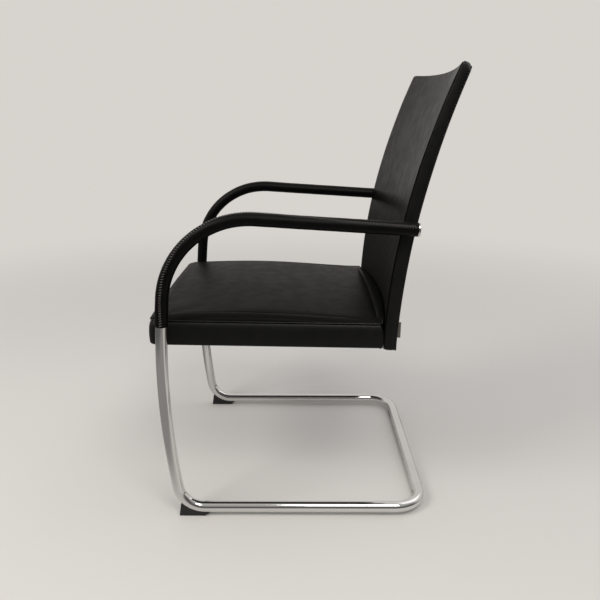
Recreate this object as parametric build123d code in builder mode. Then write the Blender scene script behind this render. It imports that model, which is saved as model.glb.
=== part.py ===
from build123d import *
import os
from math import asin, cos, degrees, radians, sin, sqrt, tan

# Cantilever armchair: one bent steel tube makes the runners, the legs and the arms, and carries an
# upholstered seat and a hollowed, leaning back between them.
# Millimetres, +Z up, the front faces -Y. The origin is on the floor under the middle of the chair.
# Distances called reach are measured rearward from the leg line, the front-most point of the legs' axes.
os.makedirs("parts", exist_ok=True)

# ---- Driving dimensions: bent tube ----------------------------------------------------------------
tube_od = 25.0
tube_wall = 2.5
axis_height = 19.5
runner_run = 500.5
corner_bend_r = 65.0
foot_bend_r = 60.0
foot_bend_turn = 82.1
leg_bow_r = 1870.0
leg_bow_turn = 13.7
arm_bend_r = 182.4
arm_slope = 3.4
arm_end_run = 12.55

# ---- Driving dimensions: fittings on the tube -----------------------------------------------------
sleeve_thick = 1.1
sleeve_start_z = 456.0
plug_cap = 4.0
plug_shank = 4.5
plug_rounding = 1.5
glide_width = 17.0
glide_setback = 1.0
glide_nose_lean = 4.5
glide_nose_z = 31.0
glide_run = 56.5
glide_tip_run = 14.0
glide_tip_z = 10.8
glide_rounding = 1.5
rear_glide_run = 40.0
rear_glide_inset = 70.0
rear_glide_slope = 60.0
glide_screw_r = 2.0
glide_screw_head_r = 4.0
glide_screw_head = 2.4
glide_screw_recess = 1.5
glide_screw_bite = 4.0

# ---- Driving dimensions: seat ---------------------------------------------------------------------
seat_width = 510.0
seat_side_room = 7.5
seat_nose = 30.0
seat_front_bow = 4.0
seat_corner_r = 20.0
seat_rear_corner_r = 12.0
seat_back_gap = 3.5
seat_bottom_z = 408.8
seat_tilt = 0.85
boxing_height = 52.0
crown_height = 21.5
crown_r = 3600.0
crown_rim_r = 4.0
bottom_rim_r = 8.0
seam_draw = 1.2
leather = 1.4
welt_proud = 0.8
welt_height = 2.4
hem_width = 30.0
dust_cover_thick = 1.0
dust_cover_inset = 14.0
seat_rail_inset = 6.0
seat_rail_thick = 6.0
seat_rail_height = 36.0
seat_rail_lift = 0.6
foam_skirt = 2.1
strap_thick = 2.0
strap_width = 48.0
strap_turn = 16.0
cross_straps = 5
long_straps = 4
strap_pitch = 78.0

# ---- Driving dimensions: back ---------------------------------------------------------------------
back_bottom_z = 398.0
back_top_z = 977.0
back_top_dip = 8.5
back_narrowing = 11.0
back_corner_r = 18.0
back_plumb_reach = 491.7
back_plumb_drop = 29.8
back_lean_r = 1535.0
back_rear_drop = 50.8
back_rear_r = 1698.0
back_thick = 27.7
back_hollow_r = 1450.0
back_edge_r = 4.5
back_seam_inset = 4.0
front_pad = 7.0
shell_thick = 9.0
shell_edge_inset = 6.0

# ---- Driving dimensions: fixings ------------------------------------------------------------------
fit_gap = 0.1
sleeve_gap = 0.25
cut_past = 1.0
blank_factor = 1.2
leg_bolt_r = 4.0
leg_bolt_head_r = 6.5
leg_bolt_head = 5.0
leg_bolt_key = 5.0
leg_bolt_tip_room = 1.0
leg_washer_r = 8.0
leg_washer = 1.6
leg_spacer_r = 8.0
leg_bolt_pitch = 18.0
leg_bolt_lift = 11.0
bush_r = 7.0
bush_proud = 1.0
bush_run = 13.0
link_count = 4
link_span = 18.0
link_bolt_r = 3.0
link_bolt_head_r = 5.0
link_bolt_head = 6.0
link_bolt_key = 5.0
link_washer_r = 6.0
link_washer = 1.6
link_spacer_r = 7.0
link_lift = 14.0
tee_nut_flange_r = 9.0
tee_nut_flange = 1.5
tee_nut_barrel_r = 4.0
bracket_plate = 3.0
bracket_flange = 5.0
bracket_run = 78.0
bracket_height = 30.0
bracket_front_inset = 4.0
bracket_room = 1.2
bracket_screw_r = 2.2
bracket_screw_head_r = 4.3
bracket_screw_head = 1.2
bracket_screw_bite = 7.0
bracket_screw_pitch = 16.0
notch_run = 44.0

# ---- Derived sizes and places ---------------------------------------------------------------------
tube_r = tube_od / 2
tube_bore_r = tube_r - tube_wall
side_x = seat_width / 2 + seat_side_room + tube_r
inboard_x = side_x - tube_r
sleeve_r = tube_r + fit_gap + sleeve_thick
rear_glide_x = side_x - rear_glide_inset

leg_foot_lean = 90 - foot_bend_turn
leg_head_lean = leg_bow_turn - leg_foot_lean
arm_bend_turn = 90 - leg_head_lean + arm_slope
foot_z = axis_height + foot_bend_r * (1 - cos(radians(foot_bend_turn)))
leg_plumb_z = foot_z + leg_bow_r * sin(radians(leg_foot_lean))
foot_reach = leg_bow_r * (1 - cos(radians(leg_foot_lean)))
runner_front_reach = foot_reach + foot_bend_r * sin(radians(foot_bend_turn))
rear_bar_reach = runner_front_reach + runner_run
leg_head_reach = leg_bow_r * (1 - cos(radians(leg_head_lean)))
leg_head_z = leg_plumb_z + leg_bow_r * sin(radians(leg_head_lean))
arm_centre_reach = leg_head_reach + arm_bend_r * cos(radians(leg_head_lean))
arm_centre_z = leg_head_z - arm_bend_r * sin(radians(leg_head_lean))
arm_front_reach = arm_centre_reach + arm_bend_r * sin(radians(arm_slope))
arm_front_z = arm_centre_z + arm_bend_r * cos(radians(arm_slope))

back_width_foot = seat_width
back_width_head = back_width_foot - back_narrowing
back_plumb_z = back_bottom_z - back_plumb_drop
back_rear_z = back_bottom_z - back_rear_drop
back_rear_reach = back_plumb_reach + back_thick
back_blank = 2 * back_thick
back_sweep = blank_factor * degrees(asin((back_top_z - back_rear_z) / back_lean_r))


def front_face_reach(z):
    """Reach of the back's front face on the centre line at height z."""
    return back_plumb_reach + back_lean_r - sqrt(back_lean_r**2 - (z - back_plumb_z) ** 2)


def rear_face_reach(z):
    """Reach of the back's rear face on the centre line at height z."""
    return back_rear_reach + back_rear_r - sqrt(back_rear_r**2 - (z - back_rear_z) ** 2)


def leg_reach(z):
    """Reach of a leg's axis at height z on its bow."""
    return leg_bow_r - sqrt(leg_bow_r**2 - (z - leg_plumb_z) ** 2)


def arm_z(reach):
    """Height of an arm's axis on its straight run."""
    return arm_front_z - (reach - arm_front_reach) * tan(radians(arm_slope))


overall_depth = seat_nose + seat_front_bow + rear_face_reach(back_top_z)
leg_line_y = seat_nose + seat_front_bow - overall_depth / 2


def y(reach):
    """The chair's Y of a place that lies reach behind the leg line."""
    return leg_line_y + reach


def back_half_width(z):
    """Half width of the back at height z."""
    share = (z - back_bottom_z) / (back_top_z - back_bottom_z)
    return (back_width_foot + (back_width_head - back_width_foot) * share) / 2


def hollow_plane(across, z, inset):
    """Plane lying on the surface that is inset behind the back's front face, facing rearward."""
    radius = back_hollow_r + inset
    turn = asin(across / radius)
    swing_r = back_lean_r + back_hollow_r - radius * cos(turn)
    rise = asin((z - back_plumb_z) / swing_r)
    place = (across, y(back_plumb_reach + back_lean_r - swing_r * cos(rise)), z)
    facing = (sin(turn), cos(turn) * cos(rise), -cos(turn) * sin(rise))
    return Plane(origin=place, x_dir=(cos(turn), -sin(turn), 0), z_dir=facing)


bracket_rear_inset = leather + front_pad + shell_thick + bracket_plate
arm_bolt_inset = (bracket_front_inset + bracket_rear_inset) / 2
arm_join_z = arm_z(back_plumb_reach)
bracket_x = back_half_width(arm_join_z) - leather - shell_edge_inset
arm_bolt_y = hollow_plane(bracket_x, arm_join_z, arm_bolt_inset).origin.Y
arm_bolt_z = arm_z(arm_bolt_y - leg_line_y)
arm_bolt_places = [(arm_bolt_y, arm_bolt_z)]
arm_run = (arm_bolt_y - leg_line_y + arm_end_run - arm_front_reach) / cos(radians(arm_slope))

# ---- Bent tube ------------------------------------------------------------------------------------
rear_bar_y = y(rear_bar_reach)
arm_side = Plane.YZ.offset(side_x)
bar_plane = Plane.XY.offset(axis_height)

with BuildLine() as floor_line:
    bar = Line((0, rear_bar_y), (side_x - corner_bend_r, rear_bar_y))
    corner = JernArc(bar @ 1, bar % 1, corner_bend_r, -90)

with BuildLine() as foot_line:
    runner = Line((rear_bar_y - corner_bend_r, axis_height), (y(runner_front_reach), axis_height))
    foot_bend = JernArc(runner @ 1, runner % 1, foot_bend_r, -foot_bend_turn)

with BuildLine() as leg_line:
    leg = JernArc(foot_bend @ 1, foot_bend % 1, leg_bow_r, -leg_bow_turn)

with BuildLine() as arm_line:
    arm_bend = JernArc(leg @ 1, leg % 1, arm_bend_r, -arm_bend_turn)
    arm = Line(arm_bend @ 1, (arm_bend @ 1) + (arm_bend % 1) * arm_run)

with BuildLine() as tube_path:
    add(bar_plane * floor_line.line)
    add(arm_side * foot_line.line)
    add(arm_side * leg_line.line)
    add(arm_side * arm_line.line)

sleeve_lean = degrees(asin((sleeve_start_z - leg_plumb_z) / leg_bow_r))
with BuildLine() as cover_line:
    cover_leg = JernArc(
        (y(leg_reach(sleeve_start_z)), sleeve_start_z),
        (sin(radians(sleeve_lean)), cos(radians(sleeve_lean))),
        leg_bow_r,
        sleeve_lean - leg_head_lean,
    )
    cover_bend = JernArc(cover_leg @ 1, cover_leg % 1, arm_bend_r, -arm_bend_turn)
    Line(cover_bend @ 1, arm @ 1)
sleeve_path = arm_side * cover_line.line

foot_path = arm_side * foot_line.line
bar_path = bar_plane * floor_line.line
arm_end = Plane(origin=arm_side.from_local_coords(arm @ 1), z_dir=arm_side.from_local_coords(arm % 1) - arm_side.origin)

# Places of the fixings: two on each leg, one near each arm's end.
leg_bolt_z = [seat_bottom_z + leg_bolt_lift + step * leg_bolt_pitch for step in range(2)]
leg_bolt_places = [(y(leg_reach(z)), z) for z in leg_bolt_z]
fixing_places = leg_bolt_places + arm_bolt_places


glide_front_reach = foot_reach + glide_setback
front_screw_y = y(glide_front_reach + glide_run - glide_width / 2)
screw_places = [(side_x, front_screw_y), (rear_glide_x, rear_bar_y)]


def tube_blank(path, radius):
    """Solid bar of the given radius along a stretch of the tube's axis."""
    start = Plane(origin=path @ 0, z_dir=path % 0)
    with BuildPart() as blank:
        with BuildSketch(start):
            Circle(radius)
        sweep(path=path)
    return blank.part


with BuildPart() as frame_tube:
    with BuildSketch(Plane(origin=(0, rear_bar_y, axis_height), z_dir=(1, 0, 0))):
        Circle(tube_r)
        Circle(tube_bore_r, mode=Mode.SUBTRACT)
    sweep(path=tube_path.wires()[0])
    with BuildSketch(Plane.YZ.offset(side_x)):
        with Locations(*fixing_places):
            Circle(bush_r)
    extrude(amount=-tube_od, mode=Mode.SUBTRACT)
    with BuildSketch(Plane.XY.offset(axis_height)):
        with Locations(*screw_places):
            Circle(glide_screw_r)
    extrude(amount=-tube_od, mode=Mode.SUBTRACT)
    mirror(about=Plane.YZ)

with BuildPart() as sleeve:
    with BuildSketch(Plane(origin=sleeve_path @ 0, z_dir=sleeve_path % 0)):
        Circle(sleeve_r)
        Circle(tube_r + fit_gap, mode=Mode.SUBTRACT)
    sweep(path=sleeve_path.wires()[0])
    with BuildSketch(Plane.YZ.offset(side_x)):
        with Locations(*arm_bolt_places):
            Circle(leg_spacer_r + sleeve_gap)
    extrude(amount=-tube_od, mode=Mode.SUBTRACT)

with BuildPart() as end_plug:
    with BuildSketch(arm_end):
        Circle(sleeve_r)
    extrude(amount=plug_cap)
    fillet(end_plug.edges().sort_by(Axis.Y)[-1], plug_rounding)
    with BuildSketch(arm_end):
        Circle(tube_bore_r - fit_gap)
    extrude(amount=-plug_shank)

# ---- Glides under the tube ------------------------------------------------------------------------
foot_centre = (y(runner_front_reach), axis_height + foot_bend_r)
bend_mid = Vector(foot_centre) - Vector(foot_bend_r, 0).rotate(Axis.Z, foot_bend_turn / 2)
glide_profile = [
    (y(glide_front_reach), 0),
    (y(glide_front_reach + glide_run), 0),
    (y(glide_front_reach + glide_run + glide_tip_run), glide_tip_z),
    (y(glide_front_reach + glide_run + glide_tip_run), axis_height),
    (y(runner_front_reach), axis_height),
    (bend_mid.X, bend_mid.Y),
    (y(glide_front_reach) + glide_nose_lean, glide_nose_z),
]

with BuildPart() as front_glide:
    with BuildSketch(Plane.YZ.offset(side_x)):
        Polygon(*glide_profile, align=None)
    extrude(amount=glide_width / 2, both=True)
    fillet(front_glide.edges().group_by(Axis.Z)[0], glide_rounding)
    add(tube_blank(foot_path, tube_r + fit_gap), mode=Mode.SUBTRACT)
    with BuildSketch(Plane.XY):
        with Locations((side_x, front_screw_y)):
            Circle(glide_screw_r + fit_gap)
    extrude(amount=axis_height, mode=Mode.SUBTRACT)
    with BuildSketch(Plane.XY):
        with Locations((side_x, front_screw_y)):
            Circle(glide_screw_head_r + fit_gap)
    extrude(amount=glide_screw_recess + glide_screw_head, mode=Mode.SUBTRACT)

with BuildPart() as rear_glide:
    with BuildSketch(Plane(origin=(0, rear_bar_y, 0), x_dir=(1, 0, 0), z_dir=(0, -1, 0))):
        with Locations((rear_glide_x, 0)):
            Trapezoid(rear_glide_run, glide_tip_z, rear_glide_slope, align=(Align.CENTER, Align.MIN))
    extrude(amount=glide_width / 2, both=True)
    fillet(rear_glide.edges().group_by(Axis.Z)[0], glide_rounding)
    add(tube_blank(bar_path, tube_r + fit_gap), mode=Mode.SUBTRACT)
    with BuildSketch(Plane.XY):
        with Locations((rear_glide_x, rear_bar_y)):
            Circle(glide_screw_r + fit_gap)
    extrude(amount=axis_height, mode=Mode.SUBTRACT)
    with BuildSketch(Plane.XY):
        with Locations((rear_glide_x, rear_bar_y)):
            Circle(glide_screw_head_r + fit_gap)
    extrude(amount=glide_screw_recess + glide_screw_head, mode=Mode.SUBTRACT)

with BuildPart() as glide_screws:
    with BuildSketch(Plane.XY.offset(glide_screw_recess)):
        with Locations(*screw_places):
            Circle(glide_screw_head_r)
    extrude(amount=glide_screw_head)
    with BuildSketch(Plane.XY.offset(glide_screw_recess)):
        with Locations(*screw_places):
            Circle(glide_screw_r - fit_gap)
    extrude(amount=axis_height - tube_bore_r + glide_screw_bite - glide_screw_recess)
    mirror(about=Plane.YZ)

# ---- Fixings between the tube and the upholstered parts --------------------------------------------
bush_face_x = inboard_x - bush_proud


def across_rods(places, start_x, end_x, radius, bore=0.0):
    """Round rods or rings along X at (Y, Z) places, on both sides of the chair."""
    with BuildPart() as rods:
        with BuildSketch(Plane.YZ.offset(start_x)):
            with Locations(*places):
                Circle(radius)
                if bore:
                    Circle(bore, mode=Mode.SUBTRACT)
        extrude(amount=end_x - start_x)
        mirror(about=Plane.YZ)
    return rods.part


with BuildPart() as tube_bushes:
    add(across_rods(fixing_places, bush_face_x, bush_face_x + bush_run, bush_r, leg_bolt_r + fit_gap))

seat_half = seat_width / 2
seat_rail_x = seat_half - leather - seat_rail_inset
seat_rail_inner_x = seat_rail_x - seat_rail_thick
leg_washer_x = seat_rail_inner_x - leg_washer
arm_washer_x = bracket_x - bracket_flange - leg_washer
bolt_tip_x = bush_face_x + bush_run - leg_bolt_tip_room

with BuildPart() as leg_spacers:
    add(across_rods(leg_bolt_places, seat_rail_x, bush_face_x, leg_spacer_r, leg_bolt_r + sleeve_gap))

with BuildPart() as arm_spacers:
    add(across_rods(arm_bolt_places, bracket_x, bush_face_x, leg_spacer_r, leg_bolt_r + sleeve_gap))

with BuildPart() as leg_washers:
    add(across_rods(leg_bolt_places, leg_washer_x, seat_rail_inner_x, leg_washer_r, leg_bolt_r + sleeve_gap))

with BuildPart() as arm_washers:
    add(across_rods(arm_bolt_places, arm_washer_x, bracket_x - bracket_flange, leg_washer_r, leg_bolt_r + sleeve_gap))


def socket_bolts(places, head_x):
    """Socket-head bolts along X whose heads bear at head_x, on both sides of the chair."""
    with BuildPart() as bolts:
        with BuildSketch(Plane.YZ.offset(head_x - leg_bolt_head)):
            with Locations(*places):
                Circle(leg_bolt_head_r)
        extrude(amount=leg_bolt_head)
        with BuildSketch(Plane.YZ.offset(head_x)):
            with Locations(*places):
                Circle(leg_bolt_r)
        extrude(amount=bolt_tip_x - head_x)
        with BuildSketch(Plane.YZ.offset(head_x - leg_bolt_head)):
            with Locations(*places):
                RegularPolygon(leg_bolt_key / 2, 6, major_radius=False)
        extrude(amount=leg_bolt_head / 2, mode=Mode.SUBTRACT)
        mirror(about=Plane.YZ)
    return bolts.part


with BuildPart() as leg_bolts:
    add(socket_bolts(leg_bolt_places, leg_washer_x))

with BuildPart() as arm_bolts:
    add(socket_bolts(arm_bolt_places, arm_washer_x))

# ---- Seat -----------------------------------------------------------------------------------------
# The seat's own plane lies on its underside: X across, Y rearward from the leg line, Z up through it.
seat_plane = Plane(
    origin=(0, leg_line_y, seat_bottom_z),
    x_dir=(1, 0, 0),
    z_dir=(0, sin(radians(seat_tilt)), cos(radians(seat_tilt))),
)
seat_rear_r = back_hollow_r - seat_back_gap
hollow_centre_reach = front_face_reach(seat_bottom_z) - back_hollow_r
seat_rear_mid = hollow_centre_reach + seat_rear_r
seat_rear_side = hollow_centre_reach + sqrt(seat_rear_r**2 - seat_half**2)
seat_mid = (seat_rear_mid - seat_nose) / 2
frame_low = leather + seat_rail_lift
frame_high = frame_low + seat_rail_height
strap_top = frame_high + 2 * strap_thick


def seat_outline(inset):
    """Plan of the seat: bowed front, rounded corners, a rear edge that follows the hollow back."""
    with BuildSketch() as outline:
        with BuildLine():
            front = ThreePointArc(
                (-seat_half, -seat_nose), (0, -seat_nose - seat_front_bow), (seat_half, -seat_nose)
            )
            side = Line(front @ 1, (seat_half, seat_rear_side))
            rear = ThreePointArc(side @ 1, (0, seat_rear_mid), (-seat_half, seat_rear_side))
            Line(rear @ 1, front @ 0)
        make_face()
        fillet(outline.vertices().group_by(Axis.Y)[0], seat_corner_r)
        fillet(outline.vertices().group_by(Axis.Y)[-1], seat_rear_corner_r)
        offset(amount=-inset, kind=Kind.INTERSECTION)
    return outline.sketch


def seat_plate(inset, low, high):
    """Flat slab of the seat's plan between two heights above its underside."""
    plan = seat_outline(inset)
    with BuildPart() as plate:
        with BuildSketch(seat_plane.offset(low)):
            add(plan)
        extrude(amount=high - low)
    return plate.part


def seat_form(inset):
    """The stuffed seat: a soft-edged box and, drawn in at the seam above it, a crowned top."""
    top_plan = seat_outline(inset + seam_draw)
    box_plan = seat_outline(inset)
    crown_centre = seat_plane.from_local_coords((0, seat_mid, boxing_height + crown_height - crown_r))
    with BuildPart() as form:
        with BuildSketch(seat_plane.offset(boxing_height)):
            add(top_plan)
        extrude(amount=2 * crown_height)
        with Locations(crown_centre):
            Sphere(crown_r - inset, mode=Mode.INTERSECT)
        fillet(form.faces().filter_by(GeomType.SPHERE).edges(), crown_rim_r - inset)
        with BuildSketch(seat_plane.offset(inset)):
            add(box_plan)
        extrude(amount=boxing_height - inset)
        low_face = form.faces().filter_by(GeomType.PLANE).sort_by(Axis.Z)[0]
        fillet(low_face.edges(), bottom_rim_r - inset)
    return form.part


# Places of the bolts that tie the seat's rear rail to the back: square to both, on the hollow's radius.
link_turns = [link_span * (i / (link_count - 1) - 0.5) for i in range(link_count)]
rail_outer_r = seat_rear_r - leather - seat_rail_inset
rail_inner_r = rail_outer_r - seat_rail_thick
shell_front_inset = leather + front_pad
shell_rear_inset = shell_front_inset + shell_thick


def link_plane(turn, radius):
    """Plane across one of those bolts, at a radius from the hollow's centre, facing rearward."""
    swing = radians(turn)
    place = seat_plane.from_local_coords(
        (radius * sin(swing), hollow_centre_reach + radius * cos(swing), link_lift)
    )
    facing = seat_plane.from_local_coords((sin(swing), cos(swing), 0)) - seat_plane.origin
    return Plane(origin=place, z_dir=facing)


def link_rods(start_r, end_r, radius, bore=0.0):
    """Round rods or rings on those bolts' axes between two radii."""
    with BuildPart() as rods:
        for turn in link_turns:
            with BuildSketch(link_plane(turn, start_r)):
                Circle(radius)
                if bore:
                    Circle(bore, mode=Mode.SUBTRACT)
            extrude(amount=end_r - start_r)
    return rods.part


link_z = seat_plane.from_local_coords((0, seat_rear_mid, link_lift)).Z
link_lean = front_face_reach(link_z) - front_face_reach(seat_bottom_z)
link_lean += seat_rear_mid * (1 - cos(radians(seat_tilt))) - link_lift * sin(radians(seat_tilt))
shell_front_r = back_hollow_r + shell_front_inset + link_lean
shell_rear_r = back_hollow_r + shell_rear_inset + link_lean

seat_outer = seat_form(0)
seat_inner = seat_form(leather)
leg_passages = across_rods(leg_bolt_places, seat_rail_inner_x, side_x, leg_spacer_r + sleeve_gap)
arm_passages = across_rods(arm_bolt_places, bracket_x, side_x, leg_spacer_r + sleeve_gap)
link_passages = link_rods(rail_outer_r, shell_front_r + cut_past, link_spacer_r + sleeve_gap)

with BuildPart() as seat_frame:
    add(seat_plate(leather + seat_rail_inset, frame_low, frame_high))
    add(seat_plate(leather + seat_rail_inset + seat_rail_thick, frame_low, frame_high), mode=Mode.SUBTRACT)
    add(across_rods(leg_bolt_places, leg_washer_x, side_x, leg_bolt_r + sleeve_gap), mode=Mode.SUBTRACT)
    add(link_rods(rail_inner_r - cut_past, rail_outer_r + cut_past, link_bolt_r + sleeve_gap), mode=Mode.SUBTRACT)


def strap_layer(low):
    """Sheet the size of the seat frame, turned down over its outer faces."""
    with BuildPart() as layer:
        add(seat_plate(leather + seat_rail_inset - strap_thick, low - strap_turn, low + strap_thick))
        add(seat_plate(leather + seat_rail_inset, low - strap_turn, low), mode=Mode.SUBTRACT)
    return layer.part


long_layer = strap_layer(frame_high)
cross_layer = strap_layer(frame_high + strap_thick)
strap_reach = 2 * overall_depth

with BuildPart() as long_webbing:
    with BuildSketch(seat_plane):
        with Locations((0, seat_mid)):
            with GridLocations(strap_pitch, 0, long_straps, 1):
                Rectangle(strap_width, strap_reach)
    extrude(amount=boxing_height)
    add(long_layer, mode=Mode.INTERSECT)

with BuildPart() as cross_webbing:
    with BuildSketch(seat_plane):
        with Locations((0, seat_mid)):
            with GridLocations(0, strap_pitch, 1, cross_straps):
                Rectangle(strap_reach, strap_width)
    extrude(amount=boxing_height)
    add(cross_layer, mode=Mode.INTERSECT)

with BuildPart() as seat_foam:
    add(seat_inner)
    add(seat_plate(leather + foam_skirt, 0, strap_top), mode=Mode.SUBTRACT)
    add(leg_passages, mode=Mode.SUBTRACT)
    add(link_passages, mode=Mode.SUBTRACT)

with BuildPart() as seat_top_cover:
    add(seat_outer)
    add(seat_inner, mode=Mode.SUBTRACT)
    split(bisect_by=seat_plane.offset(boxing_height), keep=Keep.TOP)

with BuildPart() as seat_boxing:
    add(seat_outer)
    add(seat_inner, mode=Mode.SUBTRACT)
    split(bisect_by=seat_plane.offset(boxing_height), keep=Keep.BOTTOM)
    add(seat_plate(hem_width, 0, leather + cut_past), mode=Mode.SUBTRACT)
    add(leg_passages, mode=Mode.SUBTRACT)
    add(link_passages, mode=Mode.SUBTRACT)

with BuildPart() as seat_welt:
    add(seat_plate(-welt_proud, boxing_height, boxing_height + welt_height))
    add(seat_plate(seam_draw, boxing_height, boxing_height + welt_height), mode=Mode.SUBTRACT)

with BuildPart() as seat_dust_cover:
    add(seat_plate(dust_cover_inset, -dust_cover_thick, 0))

with BuildPart() as link_spacers:
    add(link_rods(rail_outer_r + fit_gap, shell_front_r - fit_gap, link_spacer_r, link_bolt_r + sleeve_gap))

link_head_r = rail_inner_r - fit_gap - link_washer
with BuildPart() as link_washers:
    add(link_rods(link_head_r, rail_inner_r - fit_gap, link_washer_r, link_bolt_r + sleeve_gap))

with BuildPart() as link_bolts:
    add(link_rods(link_head_r - link_bolt_head, link_head_r, link_bolt_head_r))
    add(link_rods(link_head_r, shell_rear_r, link_bolt_r))
    for turn in link_turns:
        with BuildSketch(link_plane(turn, link_head_r - link_bolt_head)):
            RegularPolygon(link_bolt_key / 2, 6, major_radius=False)
        extrude(amount=link_bolt_head / 2, mode=Mode.SUBTRACT)

# ---- Back -----------------------------------------------------------------------------------------
front_axis = Axis((0, y(back_plumb_reach + back_lean_r), back_plumb_z), (-1, 0, 0))
rear_axis = Axis((0, y(back_rear_reach + back_rear_r), back_rear_z), (-1, 0, 0))
hollow_centre_y = y(back_plumb_reach) - back_hollow_r
layer_width = blank_factor * back_width_foot


def hollow_layer(near_r, far_r, axis, base_z):
    """Double-curved layer: a hollow strip between two radii, swung upward about a level axis."""
    with BuildPart() as layer:
        with BuildSketch(Plane.XY.offset(base_z)):
            with Locations((0, hollow_centre_y)):
                Circle(far_r)
                Circle(near_r, mode=Mode.SUBTRACT)
            with Locations((0, y(back_plumb_reach))):
                Rectangle(layer_width, 2 * back_blank, mode=Mode.INTERSECT)
        revolve(axis=axis, revolution_arc=back_sweep)
    return layer.part


def front_layer(near, far):
    """Layer between two insets behind the back's front face."""
    return hollow_layer(back_hollow_r + near, back_hollow_r + far, front_axis, back_plumb_z)


def rear_layer(near, far):
    """Layer between two insets ahead of the back's rear face."""
    rear_r = back_hollow_r + back_thick
    return hollow_layer(rear_r - far, rear_r - near, rear_axis, back_rear_z)


def back_prism(inset):
    """The back's front-view outline, drawn in by inset and run through it from front to rear."""
    with BuildPart() as prism:
        with BuildSketch(Plane.XZ.offset(-y(back_plumb_reach))) as outline:
            with BuildLine():
                foot = Line((-back_width_foot / 2, back_bottom_z), (back_width_foot / 2, back_bottom_z))
                side = Line(foot @ 1, (back_width_head / 2, back_top_z))
                head = ThreePointArc(side @ 1, (0, back_top_z - back_top_dip), (-back_width_head / 2, back_top_z))
                Line(head @ 1, foot @ 0)
            make_face()
            fillet(outline.vertices().group_by(Axis.Z)[-1], back_corner_r)
            offset(amount=-inset, kind=Kind.INTERSECTION)
        extrude(amount=overall_depth / 2, both=True)
    return prism.part


def back_form(inset, edge_r=0.0):
    """The whole back, drawn in by inset all round."""
    with BuildPart() as form:
        add(front_layer(inset, back_blank))
        add(rear_layer(inset, back_blank), mode=Mode.INTERSECT)
        add(back_prism(inset), mode=Mode.INTERSECT)
        if edge_r:
            fillet(form.faces().filter_by(GeomType.TORUS).edges(), edge_r)
    return form.part


def beside_arm_bolt(inner_x, outer_x, half_height):
    """Blocks between two X values, level with the arm bolts and running through the back."""
    with BuildPart() as blocks:
        with BuildSketch(Plane.XZ.offset(-arm_bolt_y)):
            with Locations(((inner_x + outer_x) / 2, arm_bolt_z)):
                Rectangle(outer_x - inner_x, 2 * half_height)
        extrude(amount=back_blank, both=True)
        mirror(about=Plane.YZ)
    return blocks.part


screw_x = bracket_x - notch_run - (bracket_run - notch_run) / 2
screw_heights = [arm_bolt_z + side * bracket_screw_pitch / 2 for side in (-1, 1)]
screw_planes = [hollow_plane(screw_x, z, shell_rear_inset) for z in screw_heights]


def screw_rods(start, end, radius):
    """Round rods on the bracket screws' axes, between two distances behind the shell."""
    with BuildPart() as rods:
        for plane in screw_planes:
            with BuildSketch(plane.offset(start)):
                Circle(radius)
            extrude(amount=end - start)
        mirror(about=Plane.YZ)
    return rods.part


back_outer = back_form(0, back_edge_r)
back_inner = back_form(leather)
shell_prism = back_prism(leather + shell_edge_inset)
half_bracket = bracket_height / 2
notch_blocks = beside_arm_bolt(bracket_x - notch_run, bracket_x + shell_edge_inset, half_bracket + sleeve_gap)
flange_blocks = beside_arm_bolt(bracket_x - bracket_flange, bracket_x, half_bracket)
plate_blocks = beside_arm_bolt(bracket_x - bracket_run, bracket_x, half_bracket)
head_windows = beside_arm_bolt(bracket_x - notch_run, bracket_x - bracket_flange, leg_washer_r + sleeve_gap)
plate_pockets = beside_arm_bolt(bracket_x - bracket_run - sleeve_gap, bracket_x, half_bracket + sleeve_gap)

with BuildPart() as back_shell:
    add(front_layer(shell_front_inset, shell_rear_inset))
    add(shell_prism, mode=Mode.INTERSECT)
    add(notch_blocks, mode=Mode.SUBTRACT)
    add(link_rods(shell_front_r - back_thick, shell_rear_r + back_thick, tee_nut_barrel_r), mode=Mode.SUBTRACT)
    add(screw_rods(-bracket_screw_bite, cut_past, bracket_screw_r), mode=Mode.SUBTRACT)

with BuildPart() as bracket_flanges:
    add(front_layer(bracket_front_inset, bracket_rear_inset))
    add(flange_blocks, mode=Mode.INTERSECT)

with BuildPart() as arm_brackets:
    add(front_layer(shell_rear_inset, bracket_rear_inset))
    add(plate_blocks, mode=Mode.INTERSECT)
    add(head_windows, mode=Mode.SUBTRACT)
    add(bracket_flanges.part)
    add(across_rods(arm_bolt_places, arm_washer_x, side_x, leg_bolt_r + sleeve_gap), mode=Mode.SUBTRACT)
    add(screw_rods(-cut_past, bracket_plate + cut_past, bracket_screw_r + fit_gap), mode=Mode.SUBTRACT)

with BuildPart() as bracket_screws:
    add(screw_rods(bracket_plate + fit_gap, bracket_plate + fit_gap + bracket_screw_head, bracket_screw_head_r))
    add(screw_rods(fit_gap - bracket_screw_bite, bracket_plate + fit_gap, bracket_screw_r - fit_gap))

tee_nut_r = shell_rear_r + sleeve_gap
with BuildPart() as link_tee_nuts:
    add(link_rods(tee_nut_r, tee_nut_r + tee_nut_flange, tee_nut_flange_r, link_bolt_r + fit_gap))
    add(link_rods(shell_front_r + sleeve_gap, tee_nut_r, tee_nut_barrel_r - fit_gap, link_bolt_r + fit_gap))

with BuildPart() as front_pocket:
    add(front_layer(bracket_front_inset - bracket_room, back_blank))
    add(notch_blocks, mode=Mode.INTERSECT)
    add(front_layer(shell_front_inset, back_blank) & shell_prism)

with BuildPart() as back_front_foam:
    add(back_inner)
    add(front_layer(-back_seam_inset, shell_rear_inset), mode=Mode.INTERSECT)
    add(front_pocket.part, mode=Mode.SUBTRACT)
    add(arm_passages, mode=Mode.SUBTRACT)
    add(link_passages, mode=Mode.SUBTRACT)

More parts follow.
